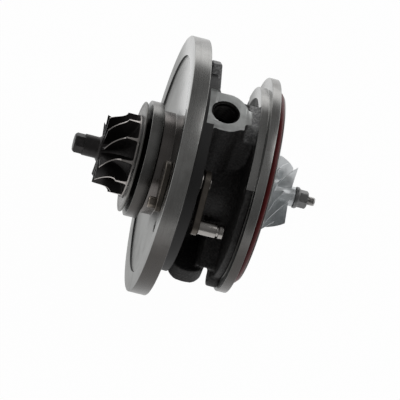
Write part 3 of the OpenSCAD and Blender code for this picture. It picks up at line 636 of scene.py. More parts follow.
def turned_piece(name, outline, material, body=None, slot=None, segments=96, loop=False, centre=(0, 0, 0)):
    """A turned piece whose axis lies along X through a centre."""
    shape = Shape()
    shape.lathe(outline, segments, loop)
    item = shape.piece(name, [material], body, slot)
    item.data.transform(Matrix.Translation((0, centre[1], centre[2])))
    return item


def bake_modifiers(item):
    """Turns the object's modifiers into its own mesh."""
    bpy.context.view_layer.update()
    evaluated = item.evaluated_get(bpy.context.evaluated_depsgraph_get())
    mesh = bpy.data.meshes.new_from_object(evaluated)
    item.modifiers.clear()
    item.data = mesh


def cut(item, cutter, operation="DIFFERENCE"):
    """Cuts one object with another, whose material stays on the cut, and removes the cutter."""
    modifier = item.modifiers.new("cut", "BOOLEAN")
    modifier.operation = operation
    modifier.object = cutter
    modifier.solver = "EXACT"
    modifier.material_mode = "TRANSFER"
    bake_modifiers(item)
    bpy.data.objects.remove(cutter)


def place_along(item, start, direction):
    """Turns a mesh made along X to a direction and moves it to its start."""
    turn = Vector(ALONG).rotation_difference(Vector(direction)).to_matrix().to_4x4()
    item.data.transform(Matrix.Translation(start) @ turn)


def drill(item, name, start, direction, outline, material):
    """Cuts a turned hole along any direction, from points of depth and radius."""
    cutter = turned_piece(name, outline, material, segments=64)
    place_along(cutter, start, direction)
    cut(item, cutter)


def bore(item, name, material, start, direction, radius, chamfer, depth):
    """Drills a chamfered hole; its chamfer and depth are in millimetres."""
    lip, land = 0.6 * MM, 0.15 * MM
    chamfer, depth = chamfer * MM, depth * MM
    drill(item, name, start, direction, [
        (-lip, 0), (-lip, radius + chamfer), (land, radius + chamfer), (land + chamfer, radius),
        (depth, radius), (depth, 0),
    ], material)


def block(name, material, along, across, height):
    """A box from its lowest and highest place in each direction."""
    low, high = across
    ring = [(low, height[0]), (high, height[0]), (high, height[1]), (low, height[1])]
    shape = Shape()
    shape.grid([[(x, y, z) for y, z in ring] for x in along], close_columns=True, caps=True)
    return shape.piece(name, [material])


def spoke(item, name, operation, material, elevation, along, half, height, draft=0.0):
    """Adds a box that points away from the shaft at an elevation, or cuts one.

    The draft leans the box along the shaft as it rises.
    """
    box = block(name, material, along, (-half, half), height)
    lean = Matrix(((1, 0, -draft, draft * height[0]), (0, 1, 0, 0), (0, 0, 1, 0), (0, 0, 0, 1)))
    box.data.transform(Matrix.Rotation(math.pi / 2 - elevation, 4, "X") @ lean)
    cut(item, box, operation)


# Bearing housing


def lever_pivot():
    """Where the lever's axis crosses the flange plane."""
    joint = next(j for j in frame["joints"] if j["name"] == "lever_swing")
    return Vector(joint["pos_m"])


def bush_radius():
    """Radius of the lever bush."""
    low, high = span("lever_bush", 1)
    return (high - low) / 2


def inlet_top():
    """Middle of the oil inlet's milled face."""
    inlet = mount_place("oil_inlet")
    return Vector((inlet.x, 0, inlet.z + group("housing").inlet_rise))


def compressor_rim():
    """Place along the shaft where the compressor flange's rim starts."""
    return mount_place("compressor_flange").x - mount_size("compressor_flange", "length_mm")


def turbine_flange_outline():
    """Section of the spigot and the clamp flange, as place along the shaft and radius."""
    h = group("housing")
    x_seat = span("bearing_housing")[0]
    land = mount_size("nozzle_ring_seat", "r_mm")
    x_land = mount_place("nozzle_ring_seat").x + mount_size("nozzle_ring_seat", "length_mm")
    x_front = x_seat + 0.2 * MM
    x_spigot = x_land + h.spigot_groove
    groove = h.spigot - h.groove_depth
    x_floor = mount_place("nozzle_dowel").x
    rim = mount_size("turbine_flange", "r_mm")
    rim_back = mount_size("turbine_flange", "length_mm")
    inset = h.flange_back - 0.5 * MM
    return [
        (x_seat, h.core), (x_seat, land - 4 * MM), (x_front, land - 3 * MM), (x_front, land),
        (x_land, land), (x_land, groove), (x_spigot, groove), (x_spigot, h.spigot),
        (x_floor, h.spigot), (x_floor, h.recess - h.recess_slope), (h.recess_wall, h.recess),
        (0, h.recess), (0, rim), (rim_back, rim), (rim_back + 1.2 * MM, h.root + 1.5 * MM),
        (rim_back + 2 * MM, h.root), (h.flange_back, h.root), (h.flange_back, h.root - 0.4 * MM),
        (inset, h.root - 1 * MM), (inset, h.core),
    ]


def compressor_flange_outline():
    """Section of the compressor flange, its ring groove and its pilot."""
    h = group("housing")
    hole = reach("seal_plate") + 0.1 * MM
    rim = mount_size("compressor_flange", "r_mm")
    x_pilot = mount_place("compressor_flange").x
    x_rim = compressor_rim()
    x_end = span("bearing_housing")[1]
    ring = span("flange_o_ring")
    floor = 2 * h.pilot - reach("flange_o_ring")
    face = h.step_face - h.proud
    inset = h.step_face + 0.6 * MM
    step = h.step + h.proud
    return [
        (inset, hole), (inset, h.step_bore), (face, h.step_bore + 0.8 * MM), (face, step),
        (x_rim, step), (x_rim, rim), (x_pilot, rim), (x_pilot, h.pilot), (ring[0], h.pilot),
        (ring[0], floor), (ring[1], floor), (ring[1], h.pilot), (x_end, h.pilot), (x_end, hole),
    ]


def turbine_flange(turned, milled, drilled):
    """The turned spigot and clamp flange, with the holes and the spot face that reach into it."""
    h = group("housing")
    outline = rounded(turbine_flange_outline(), h.edge, loop=True)
    item = turned_piece("turbine_flange", outline, turned, "housing", "cast_housing", 224, loop=True)
    dowel = mount_place("nozzle_dowel")
    bush = lever_pivot() + Vector((dowel.x, 0, 0))
    bush_seat = bush_radius() + group("lever").fit
    top = inlet_top()
    dowel_r = mount_size("nozzle_dowel", "r_mm")
    bore(item, "dowel_drill", turned, dowel, ALONG, dowel_r, chamfer=0.3, depth=6)
    bore(item, "bush_drill", turned, bush, ALONG, bush_seat, chamfer=0.2, depth=16)
    # The spot face lies just over the casting's milled face, because faces in one plane turn black
    cut(item, block("spot_face", milled, (top.x - 7.9 * MM, h.flange_back + 6 * MM),
                    (-9.5 * MM, 10.5 * MM), (top.z - 0.15 * MM, top.z + 30 * MM)))
    inlet_r = mount_size("oil_inlet", "r_mm")
    bore(item, "inlet_port", drilled, top, DOWN, inlet_r, chamfer=0.9, depth=13)
    smooth(item.data, 35)


def compressor_flange(turned):
    """The turned compressor flange, with the pocket for the lever pin and its lower step left as cast."""
    h = group("housing")
    outline = rounded(compressor_flange_outline(), h.edge, loop=True)
    item = turned_piece("compressor_flange", outline, turned, "housing", "cast_housing", 224, loop=True)
    along = (h.step_face - 2 * MM, compressor_rim() - 0.2 * MM)
    spoke(item, "notch", "DIFFERENCE", turned, h.notch_angle, along, h.notch_width / 2 + 0.6 * MM,
          (h.notch - 1.5 * MM, h.notch + 12 * MM))
    cut(item, block("cast_step", turned, along, (-60 * MM, 60 * MM), (-60 * MM, h.step_low)))
    smooth(item.data, 35)


def cast_body(skin):
    """The cast part of the housing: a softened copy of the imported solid, rough as from sand."""
    h = group("housing")
    item = bpy.data.objects.new("housing_casting", frame["nodes"]["bearing_housing"].data.copy())
    bpy.context.scene.collection.objects.link(item)
    item.data.materials.clear()
    item.data.materials.append(skin)
    x_end = compressor_rim() - 0.1 * MM
    x_start = 10.5 * MM
    clear = h.step + 6 * MM
    cut(item, turned_piece("cast_zone", [
        (x_start, 0), (x_start, h.root - 1 * MM), (h.flange_back, h.root - 0.4 * MM),
        (h.flange_back + 0.5 * MM, clear), (x_end, clear), (x_end, 0),
    ], skin, segments=160), "INTERSECT")

    x_lug = mount_size("turbine_flange", "length_mm") + 3 * MM
    back, face = h.flange_back, h.step_face
    lug_at, foot_at, web_at = math.radians(130), math.radians(-41), math.radians(-42)
    spoke(item, "lug", "UNION", skin, lug_at, (x_lug, back + 3.2 * MM),
          half=4.5 * MM, height=(36 * MM, 49 * MM))
    spoke(item, "lug_draft", "DIFFERENCE", skin, lug_at, (back + 3 * MM, back + 12 * MM),
          half=9 * MM, height=(37 * MM, 60 * MM), draft=0.175)
    spoke(item, "foot_face", "DIFFERENCE", skin, foot_at, (face - 4 * MM, face - 1.7 * MM),
          half=9 * MM, height=(33 * MM, 60 * MM))
    spoke(item, "foot_web", "UNION", skin, web_at, (26 * MM, face + 0.8 * MM),
          half=8 * MM, height=(18 * MM, 39 * MM))
    top = inlet_top()
    ear = 4.3 * MM
    deep = 30 * MM
    cut(item, block("inlet_ear", skin, (top.x, top.x + 11.8 * MM), (-ear, ear),
                    (deep, top.z - 0.01 * MM)), "UNION")
    cut(item, block("inlet_ramp", skin, (top.x + 6 * MM, face + 1 * MM), (-ear, 9 * MM),
                    (deep, 41 * MM)), "UNION")
    cut(item, block("inlet_side", skin, (top.x + 9.4 * MM, top.x + 15 * MM), (-14 * MM, -ear),
                    (36 * MM, 50 * MM)))

    grain = item.modifiers.new("grain", "REMESH")
    grain.mode = "VOXEL"
    grain.voxel_size = h.grain
    soften = item.modifiers.new("soften", "SMOOTH")
    soften.factor = 0.5
    soften.iterations = 7
    bake_modifiers(item)
    vertices = item.data.vertices
    for vertex, normal in zip(vertices, [v.normal.copy() for v in vertices]):
        place = vertex.co / MM
        swell = noise.noise(place * 0.35) + 0.6 * noise.noise(place * 1.1)
        vertex.co -= normal * h.skin_depth * (0.5 + 0.3 * swell)
    return item


def finished_casting(skin, turned, milled, drilled):
    """The casting with its milled faces and its drilled holes."""
    item = cast_body(skin)
    x_rim = compressor_rim()
    top = inlet_top()
    drain = mount_place("oil_drain")
    cut(item, block("inlet_mill", milled, (0, x_rim - 4 * MM), (-20 * MM, 20 * MM),
                    (top.z - 0.2 * MM, top.z + 20 * MM)))
    cut(item, block("drain_mill", milled, (0, x_rim), (-40 * MM, 40 * MM),
                    (drain.z - 10 * MM, drain.z + 0.2 * MM)))
    inlet_r, drain_r = mount_size("oil_inlet", "r_mm"), mount_size("oil_drain", "r_mm")
    bore(item, "inlet_drill", drilled, top, DOWN, inlet_r, chamfer=0.9, depth=13)
    bore(item, "drain_drill", turned, drain, UP, drain_r, chamfer=0.6, depth=18)
    half_pitch = mount_size("oil_drain_bolts", "spacing_y_mm") / 2
    bolt_r = mount_size("oil_drain_bolts", "hole_r_mm")
    for side in (-half_pitch, half_pitch):
        place = drain + Vector((0, side, 0))
        bore(item, "bolt_drill", turned, place, UP, bolt_r, chamfer=0.5, depth=8)
    bush = lever_pivot() + Vector((10 * MM, 0, 0))
    bush_seat = bush_radius() + group("lever").fit
    bore(item, "bush_bore", turned, bush, ALONG, bush_seat, chamfer=0, depth=8)
    smooth(item.data, 40)
    return item


def thread_rows(radius, depth, pitch, run, segments=72, per_turn=8):
    """Rows of a helical V thread along X, whose crest is the radius plus the depth."""
    count = int(run / pitch * per_turn)
    rows = []
    for i in range(count + 1):
        x = run * i / count
        fade = min(1.0, x / pitch, (run - x) / pitch)
        row = []
        for k, a in enumerate(turns(segments)):
            phase = (x / pitch - k / segments) % 1
            row.append(round_shaft(x, radius + depth * (1 - abs(2 * phase - 1)) * fade, a))
        rows.append(row)
    return rows


def scaled_rows(rows, factor):
    """Rows of points moved towards the shaft or away from it."""
    return [[(x, y * factor, z * factor) for x, y, z in row] for row in rows]


class CARTRIDGE_OT_housing(bpy.types.Operator):
    """Makes the bearing housing: casting, turned flanges, milled inlet face, ports and threads"""

    bl_idname = "cartridge.housing"
    bl_label = "Bearing housing"

    def execute(self, context):
        c, h = group("colours"), group("housing")
        skin, turned, milled = cast_skin(), turned_iron(), milled_face()
        drilled = turned_metal("drilled_iron", c.cast_scuff * 0.4, c.cast_skin, rough=0.4)
        turbine_flange(turned, milled, drilled)
        compressor_flange(turned)

        casting = finished_casting(skin, turned, milled, drilled)
        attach(casting, "housing")
        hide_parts("bearing_housing")

        thread = Shape()
        run, wall, sunk = 11 * MM, 1.08, 1.2 * MM
        rows = thread_rows(mount_size("oil_inlet", "r_mm"), -h.inlet_pitch / 2, h.inlet_pitch, run)
        thread.grid(rows + scaled_rows(reversed(rows), wall), close_rows=True, close_columns=True)
        thread = thread.piece("oil_inlet_thread", [drilled], "housing", "cast_housing", sharp=50)
        place_along(thread, inlet_top() - Vector((0, 0, sunk)), DOWN)
        return {"FINISHED"}


# Wheels


def passage(axial_end, radial_end, s):
    """A point on a quarter ellipse, as place along the shaft and radius."""
    turn = math.pi / 2 * s
    x = axial_end[0] + (radial_end[0] - axial_end[0]) * math.sin(turn)
    r = radial_end[1] - (radial_end[1] - axial_end[1]) * math.cos(turn)
    return Vector((x, r))


def hub_outline(hub, steps=36):
    """The hub line of a wheel, from the back disc to the nose."""
    return [tuple(passage(*hub, 1 - i / steps)) for i in range(steps + 1)]


def add_blade(shape, hub, tip, phase, first, wrap, curl, sweep, root, edge, tip_mark=0):
    """Adds one blade between a hub line and a tip line, with a fillet at its root."""
    steps, heights = 40, 10
    fillet, sink = 0.45 * MM, 0.35 * MM
    low_sides, high_sides = [], []
    for i in range(steps + 1):
        s = first + (1 - first) * i / steps
        turn = phase + wrap * (1 - s) ** curl + sweep * s ** 3
        low, high = passage(*hub, s), passage(*tip, s)
        tall = (high - low).length
        columns = ([], [])
        for k in range(heights + 1):
            climb = (k / heights) ** 1.7
            up = climb * tall - sink * (1 - climb)
            x, r = low + (high - low) * (up / tall)
            half = (edge + (root - edge) * (1 - climb)) / 2 + fillet * math.exp(-max(up, 0) / fillet)
            for across, column in zip((-half, half), columns):
                column.append((x, -r * math.cos(turn) - across * math.sin(turn),
                               r * math.sin(turn) - across * math.cos(turn)))
        low_sides.append(columns[0])
        high_sides.append(columns[1])
    shape.grid(low_sides)
    shape.grid(high_sides)
    pairs = list(zip(low_sides, high_sides))
    shape.grid([(a[-1], b[-1]) for a, b in pairs], tip_mark)
    shape.grid([(a[0], b[0]) for a, b in pairs])
    shape.grid(list(zip(*pairs[0])))
    shape.grid(list(zip(*pairs[-1])), tip_mark)


def hexed(outline, apothem, segments=96):
    """Rows round the shaft whose points marked as hexagon stay inside a hexagon, corners up."""
    rows = []
    for x, r, is_hexagon in outline:
        row = []
        for a in turns(segments):
            flat = apothem / math.cos((a - math.pi / 2) % (math.pi / 3) - math.pi / 6)
            row.append(round_shaft(x, min(r, flat) if is_hexagon else r, a))
        rows.append(row)
    return rows


class CARTRIDGE_OT_turbine_wheel(bpy.types.Operator):
    """Makes the cast turbine wheel with its ground blade tips, nose and hexagon grip"""

    bl_idname = "cartridge.turbine_wheel"
    bl_label = "Turbine wheel"

    def execute(self, context):
        w = group("wheels")
        x_end, x_weld = span("turbine_wheel")
        disc_r = reach("turbine_wheel")
        x_disc = x_weld - 0.5 * MM
        x_in = x_disc - w.turbine_disc
        x_out = x_in - w.turbine_length
        x_nose = x_end + w.turbine_grip_length
        hub_r = w.turbine_nose + 0.6 * MM
        hub = ((x_out, hub_r), (x_in, disc_r - w.lip))
        tip = ((x_out, w.turbine_outlet), (x_in - w.turbine_tip, w.turbine_inlet))

        shape = Shape()
        shape.lathe([(x_weld, 0), (x_weld, w.turbine_weld), (x_disc, w.turbine_weld), (x_disc, disc_r)])
        shape.lathe([(x_disc, disc_r), (x_in, disc_r)], mark=1)
        nose = rounded([
            (x_out, hub_r), (x_out - 0.6 * MM, hub_r), (x_out - 1.3 * MM, w.turbine_nose),
            (x_nose, w.turbine_nose), (x_nose, w.turbine_grip - 0.3 * MM),
        ], 0.5 * MM, 4)
        shape.lathe([(x_in, disc_r)] + hub_outline(hub) + nose)
        apothem = w.turbine_grip * math.cos(math.pi / 6)
        x_root = x_nose + 0.2 * MM
        shape.grid(hexed([
            (x_root, 0, False), (x_root, w.turbine_grip, True), (x_end + 0.9 * MM, w.turbine_grip, True),
            (x_end + 0.35 * MM, apothem + 0.12 * MM, True), (x_end, apothem - 0.35 * MM, True),
            (x_end, apothem - 0.6 * MM, False), (x_end, 0, False),
        ], apothem), close_columns=True)
        for turn in turns(w.turbine_blades):
            add_blade(shape, hub, tip, w.turbine_phase + turn, w.blade_start, wrap=-w.turbine_twist,
                      curl=3.2, sweep=0, root=1.3 * MM, edge=0.58 * MM, tip_mark=1)
        wheel = shape.piece("turbine_casting", [turbine_skin(), ground_tip()], "rotor",
                            "turbine_alloy", sharp=32)
        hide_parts("turbine_wheel")
        return {"FINISHED"}


class CARTRIDGE_OT_compressor_wheel(bpy.types.Operator):
    """Makes the milled compressor wheel with its full blades and splitters"""

    bl_idname = "cartridge.compressor_wheel"
    bl_label = "Compressor wheel"

    def execute(self, context):
        w = group("wheels")
        x_back, x_nut = span("compressor_wheel")
        disc_r = reach("compressor_wheel")
        blade_r = disc_r - w.lip
        x_out = x_back + w.compressor_disc
        x_in = x_out + w.compressor_length
        hub = ((x_in, w.compressor_nose), (x_out, blade_r))
        tip = ((x_in, w.compressor_inlet), (x_out + w.compressor_tip, blade_r))
        chamfer = 0.3 * MM

        shape = Shape()
        shape.lathe([
            (x_back, w.stub), (x_back, disc_r), (x_out, disc_r), *hub_outline(hub),
            (x_nut - chamfer, w.compressor_nose), (x_nut, w.compressor_nose - chamfer), (x_nut, w.stub),
        ], 192, loop=True)
        half_pitch = math.pi / w.compressor_blades
        for turn in turns(w.compressor_blades):
            for offset, first in ((0, w.blade_start), (half_pitch, w.splitter_start)):
                add_blade(shape, hub, tip, turn + offset, first, wrap=w.compressor_wrap, curl=2,
                          sweep=-w.compressor_sweep, root=0.9 * MM, edge=0.5 * MM)
        wheel = shape.piece("compressor_milling", [milled_aluminium()], "rotor",
                            "compressor_aluminium", sharp=32)
        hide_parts("compressor_wheel")
        return {"FINISHED"}


class CARTRIDGE_OT_shaft(bpy.types.Operator):
    """Makes the rotor shaft with its threaded stud end, and the lock nut"""

    bl_idname = "cartridge.shaft"
    bl_label = "Shaft and nut"

    def execute(self, context):
        w, c = group("wheels"), group("colours")
        steel = turned_metal("ground_steel", c.steel, c.turned_stain, rough=0.26, stain_share=0.2)
        x_weld, x_end = span("rotor_shaft")
        hub_r = reach("rotor_shaft")
        side = 0.1 * MM
        groove = hub_r - 1 * MM
        x_ring, x_ring_end = span("turbine_seal_ring")
        x_journal = -4 * MM
        x_washer = span("thrust_washer")[0]
        x_nut, x_nut_end = span("lock_nut")
        root = w.stud - 0.61 * w.pitch
        shaft = turned_piece("shaft_turning", rounded([
            (x_weld, 0), (x_weld, hub_r), (x_ring - side, hub_r), (x_ring - side, groove),
            (x_ring_end + side, groove), (x_ring_end + side, hub_r), (x_journal, hub_r),
            (x_journal, w.journal), (x_washer, w.journal), (x_washer, w.stub),
            (x_nut - 0.5 * MM, w.stub), (x_nut - 0.2 * MM, root), (x_end - 0.2 * MM, root),
            (x_end, root - 0.3 * MM), (x_end, 0),
        ], 0.15 * MM), steel, "rotor", "ground_steel")
        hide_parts("rotor_shaft")

        thread = Shape()
        start = x_nut_end - 2 * w.pitch
        rows = thread_rows(root, w.stud - root, w.pitch, x_end - start - 0.1 * MM)
        rows = [[(x + start, y, z) for x, y, z in row] for row in rows]
        thread.grid(rows + scaled_rows((rows[-1], rows[0]), 0.8), close_rows=True, close_columns=True)
        thread.piece("stud_thread", [steel], "rotor", "ground_steel", sharp=50)

        flange_r = reach("lock_nut")
        x_hex = x_nut_end - w.nut_hexagon_height
        flange_t = x_hex - x_nut
        apothem = w.nut_hexagon * math.cos(math.pi / 6)
        nut = Shape()
        nut.grid(hexed([
            (x_nut, w.stud, False), (x_nut, flange_r - 0.25 * MM, False),
            (x_nut + 0.25 * MM, flange_r, False), (x_nut + 0.6 * flange_t, flange_r, False),
            (x_nut + 0.7 * flange_t, flange_r - 0.15 * MM, False),
            (x_hex, w.nut_hexagon + 0.1 * MM, False), (x_hex, w.nut_hexagon, True),
            (x_nut_end - 0.6 * MM, w.nut_hexagon, True), (x_nut_end - 0.3 * MM, apothem + 0.3 * MM, True),
            (x_nut_end, apothem - 0.15 * MM, True), (x_nut_end, w.stud + 0.45 * MM, False),
            (x_nut_end - 0.45 * MM, w.stud, False),
        ], apothem), close_rows=True, close_columns=True)
        nut = nut.piece("nut_forging", [phosphated()], "rotor", "nut_steel", sharp=32)
        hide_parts("lock_nut")
        return {"FINISHED"}


# Seals and shield


class CARTRIDGE_OT_seals(bpy.types.Operator):
    """Makes the pressed heat shield and the red ring on the compressor pilot"""

    bl_idname = "cartridge.seals"
    bl_label = "Heat shield and ring"

    def execute(self, context):
        x_top, x_seat = span("heat_shield")
        sheet = 0.8 * MM
        rim = reach("heat_shield")
        bead, bead_half = rim - 1.6 * MM, 0.5 * MM
        foot, dish = 15 * MM, 18.8 * MM
        lean = 0.4 * MM
        hole = 7 * MM
        shield = turned_piece("shield_pressing", rounded([
            (x_seat - sheet, hole), (x_seat - sheet, foot), (x_top, dish), (x_top, bead - bead_half),
            (x_top + 0.3 * MM, bead), (x_top, bead + bead_half), (x_top, rim), (x_top + sheet, rim),
            (x_top + sheet, dish + lean), (x_seat, foot + lean), (x_seat, hole),
        ], 0.3 * MM, 4, loop=True), pressed_sheet(), "housing", "shield_steel", 192, loop=True)
        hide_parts("heat_shield")

        low, high = span("flange_o_ring")
        section = (high - low) / 2
        middle, radius = (low + high) / 2, reach("flange_o_ring") - section
        red = rubber("red_rubber", group("colours").red_rubber, 0.4)
        circle = [(middle + section * math.cos(a), radius + section * math.sin(a)) for a in turns(24)]
        ring = turned_piece("red_ring", circle, red, "housing", "red_rubber", 224, loop=True)
        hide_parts("flange_o_ring")
        return {"FINISHED"}


# Nozzle lever


def arm_rows(x_low, x_high, hub, end, hub_r, end_r, edge):
    """Rows of a flat arm with round ends and rounded edges, from its two centres and radii."""
    run = Vector((end[1] - hub[1], end[2] - hub[2]))
    lean = math.asin((hub_r - end_r) / run.length)
    heading = math.atan2(run.y, run.x)
    rise = (1.0, 0.3, 0.0)
    levels = [(x_low + edge * (1 - k), edge * k) for k in rise]
    levels += [(x_high - edge * (1 - k), edge * k) for k in reversed(rise)]
    ends = ((end, end_r, heading, math.pi / 2 - lean), (hub, hub_r, heading + math.pi, math.pi / 2 + lean))
    steps = 24
    rows = []
    for x, inset in levels:
        row = []
        for centre, radius, middle, half in ends:
            r = radius - inset
            for k in range(steps + 1):
                a = middle + half * (2 * k / steps - 1)
                row.append((x, centre[1] + r * math.cos(a), centre[2] + r * math.sin(a)))
        rows.append(row)
    return rows


def arm(name, node, hub, end, hub_r, end_r, bores, material):
    """A lever arm that stands for its CAD node, with its bores cut through."""
    x_low, x_high = span(node)
    shape = Shape()
    shape.grid(arm_rows(x_low, x_high, hub, end, hub_r, end_r, 0.35 * MM), close_columns=True, caps=True)
    item = shape.piece(name, [material])
    over = 1 * MM
    run = x_high - x_low + 2 * over
    for centre, radius in bores:
        start = Vector((x_low - over, centre[1], centre[2]))
        drill(item, "arm_drill", start, ALONG, [(0, 0), (0, radius), (run, radius), (run, 0)], material)
    smooth(item.data, 30)
    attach(item, "lever")
    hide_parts(node)


class CARTRIDGE_OT_lever(bpy.types.Operator):
    """Makes the nozzle lever: bush, shaft, outer lever and its grooved pin, inner crank and its pin"""

    bl_idname = "cartridge.lever"
    bl_label = "Nozzle lever"

    def execute(self, context):
        c, v = group("colours"), group("lever")
        pivot, pin_centre, crank_centre = lever_pivot(), centre_of("lever_pin"), centre_of("crank_pin")
        steel = tinted_steel()
        bright = turned_metal("pin_steel", c.pin, c.turned_stain, 0.24, 0.3, pin_centre)
        bush_metal = turned_metal("bush_steel", c.pin, c.turned_stain, 0.28, 0.3, pivot)

        x_low, x_high = span("lever_bush")
        bush_r = bush_radius()
        bush = turned_piece("lever_bush_sleeve", rounded([
            (x_low, v.bush_bore), (x_low, bush_r), (x_high, bush_r), (x_high, v.bush_bore),
        ], 0.4 * MM, loop=True), bush_metal, "housing", "pin_steel", loop=True, centre=pivot)
        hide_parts("lever_bush")

        x_low, x_high = span("lever_shaft")
        crank, lever = span("inner_crank"), span("outer_lever")
        shaft = turned_piece("lever_spindle", rounded([
            (x_low, 0), (x_low, v.tenon), (crank[1], v.tenon), (crank[1], v.journal),
            (lever[0], v.journal), (lever[0], v.tenon), (x_high, v.tenon), (x_high, 0),
        ], v.edge), bush_metal, "lever", "pin_steel", centre=pivot)
        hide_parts("lever_shaft")

        x_low, x_high = span("lever_pin")
        r = mount_size("lever_pin", "r_mm")
        pin_stem, neck, head_r = r - 1 * MM, r - 0.9 * MM, r - 0.2 * MM
        chamfer = 0.5 * MM
        head = x_high - v.pin_head
        groove = head - v.pin_groove
        pin = turned_piece("lever_pin_turning", rounded([
            (x_low, 0), (x_low, pin_stem), (lever[1], pin_stem), (lever[1], r), (groove, r),
            (groove, neck), (head, neck), (head, head_r), (x_high - chamfer, head_r),
            (x_high, head_r - chamfer), (x_high, 0),
        ], v.edge), bright, "lever", "pin_steel", centre=pin_centre)
        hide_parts("lever_pin")

        x_low, x_high = span("crank_pin")
        r = mount_size("crank_pin", "r_mm")
        crank_stem = r - chamfer
        dull = turned_metal("crank_pin_steel", c.lever * 2, c.lever, 0.3, axis=crank_centre)
        pin = turned_piece("crank_pin_turning", rounded([
            (x_low, 0), (x_low, crank_stem), (x_low + chamfer, r), (crank[0], r),
            (crank[0], crank_stem), (x_high, crank_stem), (x_high, 0),
        ], v.edge), dull, "lever", "pin_steel", centre=crank_centre)
        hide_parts("crank_pin")

        tenon_hole = (pivot, v.tenon + v.fit)
        arm("lever_forging", "outer_lever", pivot, pin_centre, v.hub, v.lever_end,
            [tenon_hole, (pin_centre, pin_stem + v.fit)], steel)
        arm("crank_forging", "inner_crank", pivot, crank_centre, v.hub, v.crank_end,
            [tenon_hole, (crank_centre, crank_stem + v.fit)], steel)
        return {"FINISHED"}


# Pieces inside the housing


class CARTRIDGE_OT_inside(bpy.types.Operator):
    """Gives the bearings, rings and plates inside the housing their finishes"""

    bl_idname = "cartridge.inside"
    bl_label = "Inner pieces"

    def execute(self, context):
        c = group("colours")
        bronze = turned_metal("bearing_bronze", c.bronze, c.turned_stain, 0.26, 0.3)
        plate = turned_metal("plate_steel", c.steel, c.turned_stain, 0.3, 0.25)
        ring = turned_metal("ring_steel", c.nut, c.turned_stain, 0.3)
        black = rubber("black_rubber", c.black_rubber, 0.45)
        for material, nodes in (
                (bronze, ("turbine_bearing", "compressor_bearing", "thrust_bearing")),
                (plate, ("thrust_washer", "thrust_collar", "oil_flinger", "oil_deflector",
                         "seal_plate")),
                (ring, ("turbine_seal_ring", "compressor_seal_rings", "bearing_circlips",
                        "seal_plate_circlip")),
                (black, ("seal_plate_o_ring",))):
            for node in nodes:
                for slot in frame["nodes"][node].material_slots:
                    slot.material = material
        return {"FINISHED"}


# Stage


def make_floor(t):
    """A pale floor that the camera and mirrors see as white, but that keeps the object's shadow."""
    c = group("colours")
    f = Finish("pale_floor", roughness=0.9)
    paper = f.set(base_color=f.mix(f.noise(30, 2.0) * 0.5, c.floor, c.floor * 0.99))
    camera, glossy, through = [f.add("ShaderNodeLightPath", output=f"Is {kind} Ray")
                               for kind in ("Camera", "Glossy", "Transmission")]
    white = f.add("ShaderNodeEmission", None, {"Color": (1, 1, 1, 1), "Strength": 1.0})
    shown = f.add("ShaderNodeMixShader", None, {
        "Fac": (camera + glossy + through).maths("MINIMUM", 1.0) * t.glow,
        1: Signal(f, f.shader.outputs[0]), 2: white})
    f.tree.links.new(shown.socket, f.tree.nodes["Material Output"].inputs["Surface"])
    low = CAD_BOX[0][2] - t.floor_drop
    floor = Shape()
    floor.grid([[(x, y, low) for y in (-3, 0, 3)] for x in (-3, 0, 3)])
    floor.piece("floor", [paper])


def make_lights(t, scene):
    """Light from all round, a low pale wall behind, and three soft lamps."""
    world = bpy.data.worlds.new("room")
    scene.world = world
    world.use_nodes = True
    sky = Nodes(world.node_tree)
    along, up = sky.parts(sky.add("ShaderNodeTexCoord", output="Generated"))[1:]
    wall = along.step(0.1, 0.6) * (1 - up.step(0.3, 0.5))
    level = t.room + wall * (t.backdrop - t.room)
    light = world.node_tree.nodes["Background"]
    world.node_tree.links.new(level.socket, light.inputs["Strength"])
    light.inputs["Color"].default_value = (1, 1, 1, 1)
    for name, place, size, power in (
            ("top_light", (0.75, 0.1, 1.15), 0.8, t.key),
            ("side_light", (-1.1, -0.5, 0.5), 0.7, t.fill),
            ("ceiling_light", (0.2, -0.4, 1.5), 2, t.ceiling)):
        lamp = bpy.data.lights.new(name, "AREA")
        lamp.shape = "DISK"
        lamp.size = size
        lamp.energy = power
        item = bpy.data.objects.new(name, lamp)
        item.location = place
        item.rotation_euler = (-Vector(place)).to_track_quat("-Z", "Y").to_euler()
        scene.collection.objects.link(item)


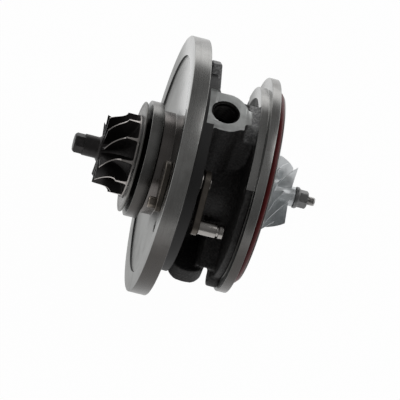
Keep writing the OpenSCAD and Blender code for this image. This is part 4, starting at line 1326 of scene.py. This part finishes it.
def make_camera(t, scene):
    """The camera, from its direction, its roll and where the middle of its picture lies."""
    right = Vector((math.cos(t.azimuth), math.sin(t.azimuth), 0))
    back = Vector((math.sin(t.azimuth) * math.cos(t.elevation),
                   -math.cos(t.azimuth) * math.cos(t.elevation), math.sin(t.elevation)))
    turn = Matrix.Rotation(t.roll, 3, back)
    right, up = turn @ right, turn @ back.cross(right)
    place = right * t.aim_right - up * t.aim_down + back * t.distance
    lens = bpy.data.cameras.new("camera")
    lens.sensor_width = 36
    lens.lens = lens.sensor_width * t.distance / t.frame_width
    lens.clip_start = 0.01
    camera = bpy.data.objects.new("camera", lens)
    camera.matrix_world = Matrix.Translation(place) @ Matrix((right, up, back)).transposed().to_4x4()
    scene.collection.objects.link(camera)
    scene.camera = camera


class CARTRIDGE_OT_stage(bpy.types.Operator):
    """Makes the floor, the lights and the camera"""

    bl_idname = "cartridge.stage"
    bl_label = "Stage"

    def execute(self, context):
        settings = group("stage")
        context.scene.view_settings.view_transform = "Standard"
        make_floor(settings)
        make_lights(settings, context.scene)
        make_camera(settings, context.scene)
        return {"FINISHED"}


# Panel and start

OPERATORS = (
    CARTRIDGE_OT_housing, CARTRIDGE_OT_turbine_wheel, CARTRIDGE_OT_compressor_wheel,
    CARTRIDGE_OT_shaft, CARTRIDGE_OT_seals, CARTRIDGE_OT_lever, CARTRIDGE_OT_inside,
    CARTRIDGE_OT_stage,
)
GROUPS = {
    "cartridge_housing": HousingSizes,
    "cartridge_wheels": WheelSizes,
    "cartridge_lever": LeverSizes,
    "cartridge_colours": CartridgeColours,
    "cartridge_stage": StageSettings,
}


class CARTRIDGE_PT_panel(bpy.types.Panel):
    """Lists the operators that make the cartridge"""

    bl_idname = "CARTRIDGE_PT_panel"
    bl_label = "Cartridge"
    bl_space_type = "VIEW_3D"
    bl_region_type = "UI"
    bl_category = "Cartridge"

    def draw(self, context):
        for operator in OPERATORS:
            self.layout.operator(operator.bl_idname)


def register():
    for item in (*GROUPS.values(), *OPERATORS, CARTRIDGE_PT_panel):
        bpy.utils.register_class(item)
    for name, settings in GROUPS.items():
        setattr(bpy.types.Scene, name, PointerProperty(type=settings))


def unregister():
    for name in GROUPS:
        delattr(bpy.types.Scene, name)
    for item in (CARTRIDGE_PT_panel, *OPERATORS, *GROUPS.values()):
        bpy.utils.unregister_class(item)


def main():
    register()
    bpy.ops.cartridge.housing()
    bpy.ops.cartridge.turbine_wheel()
    bpy.ops.cartridge.compressor_wheel()
    bpy.ops.cartridge.shaft()
    bpy.ops.cartridge.seals()
    bpy.ops.cartridge.lever()
    bpy.ops.cartridge.inside()
    bpy.ops.cartridge.stage()


if __name__ == "__main__":
    main()
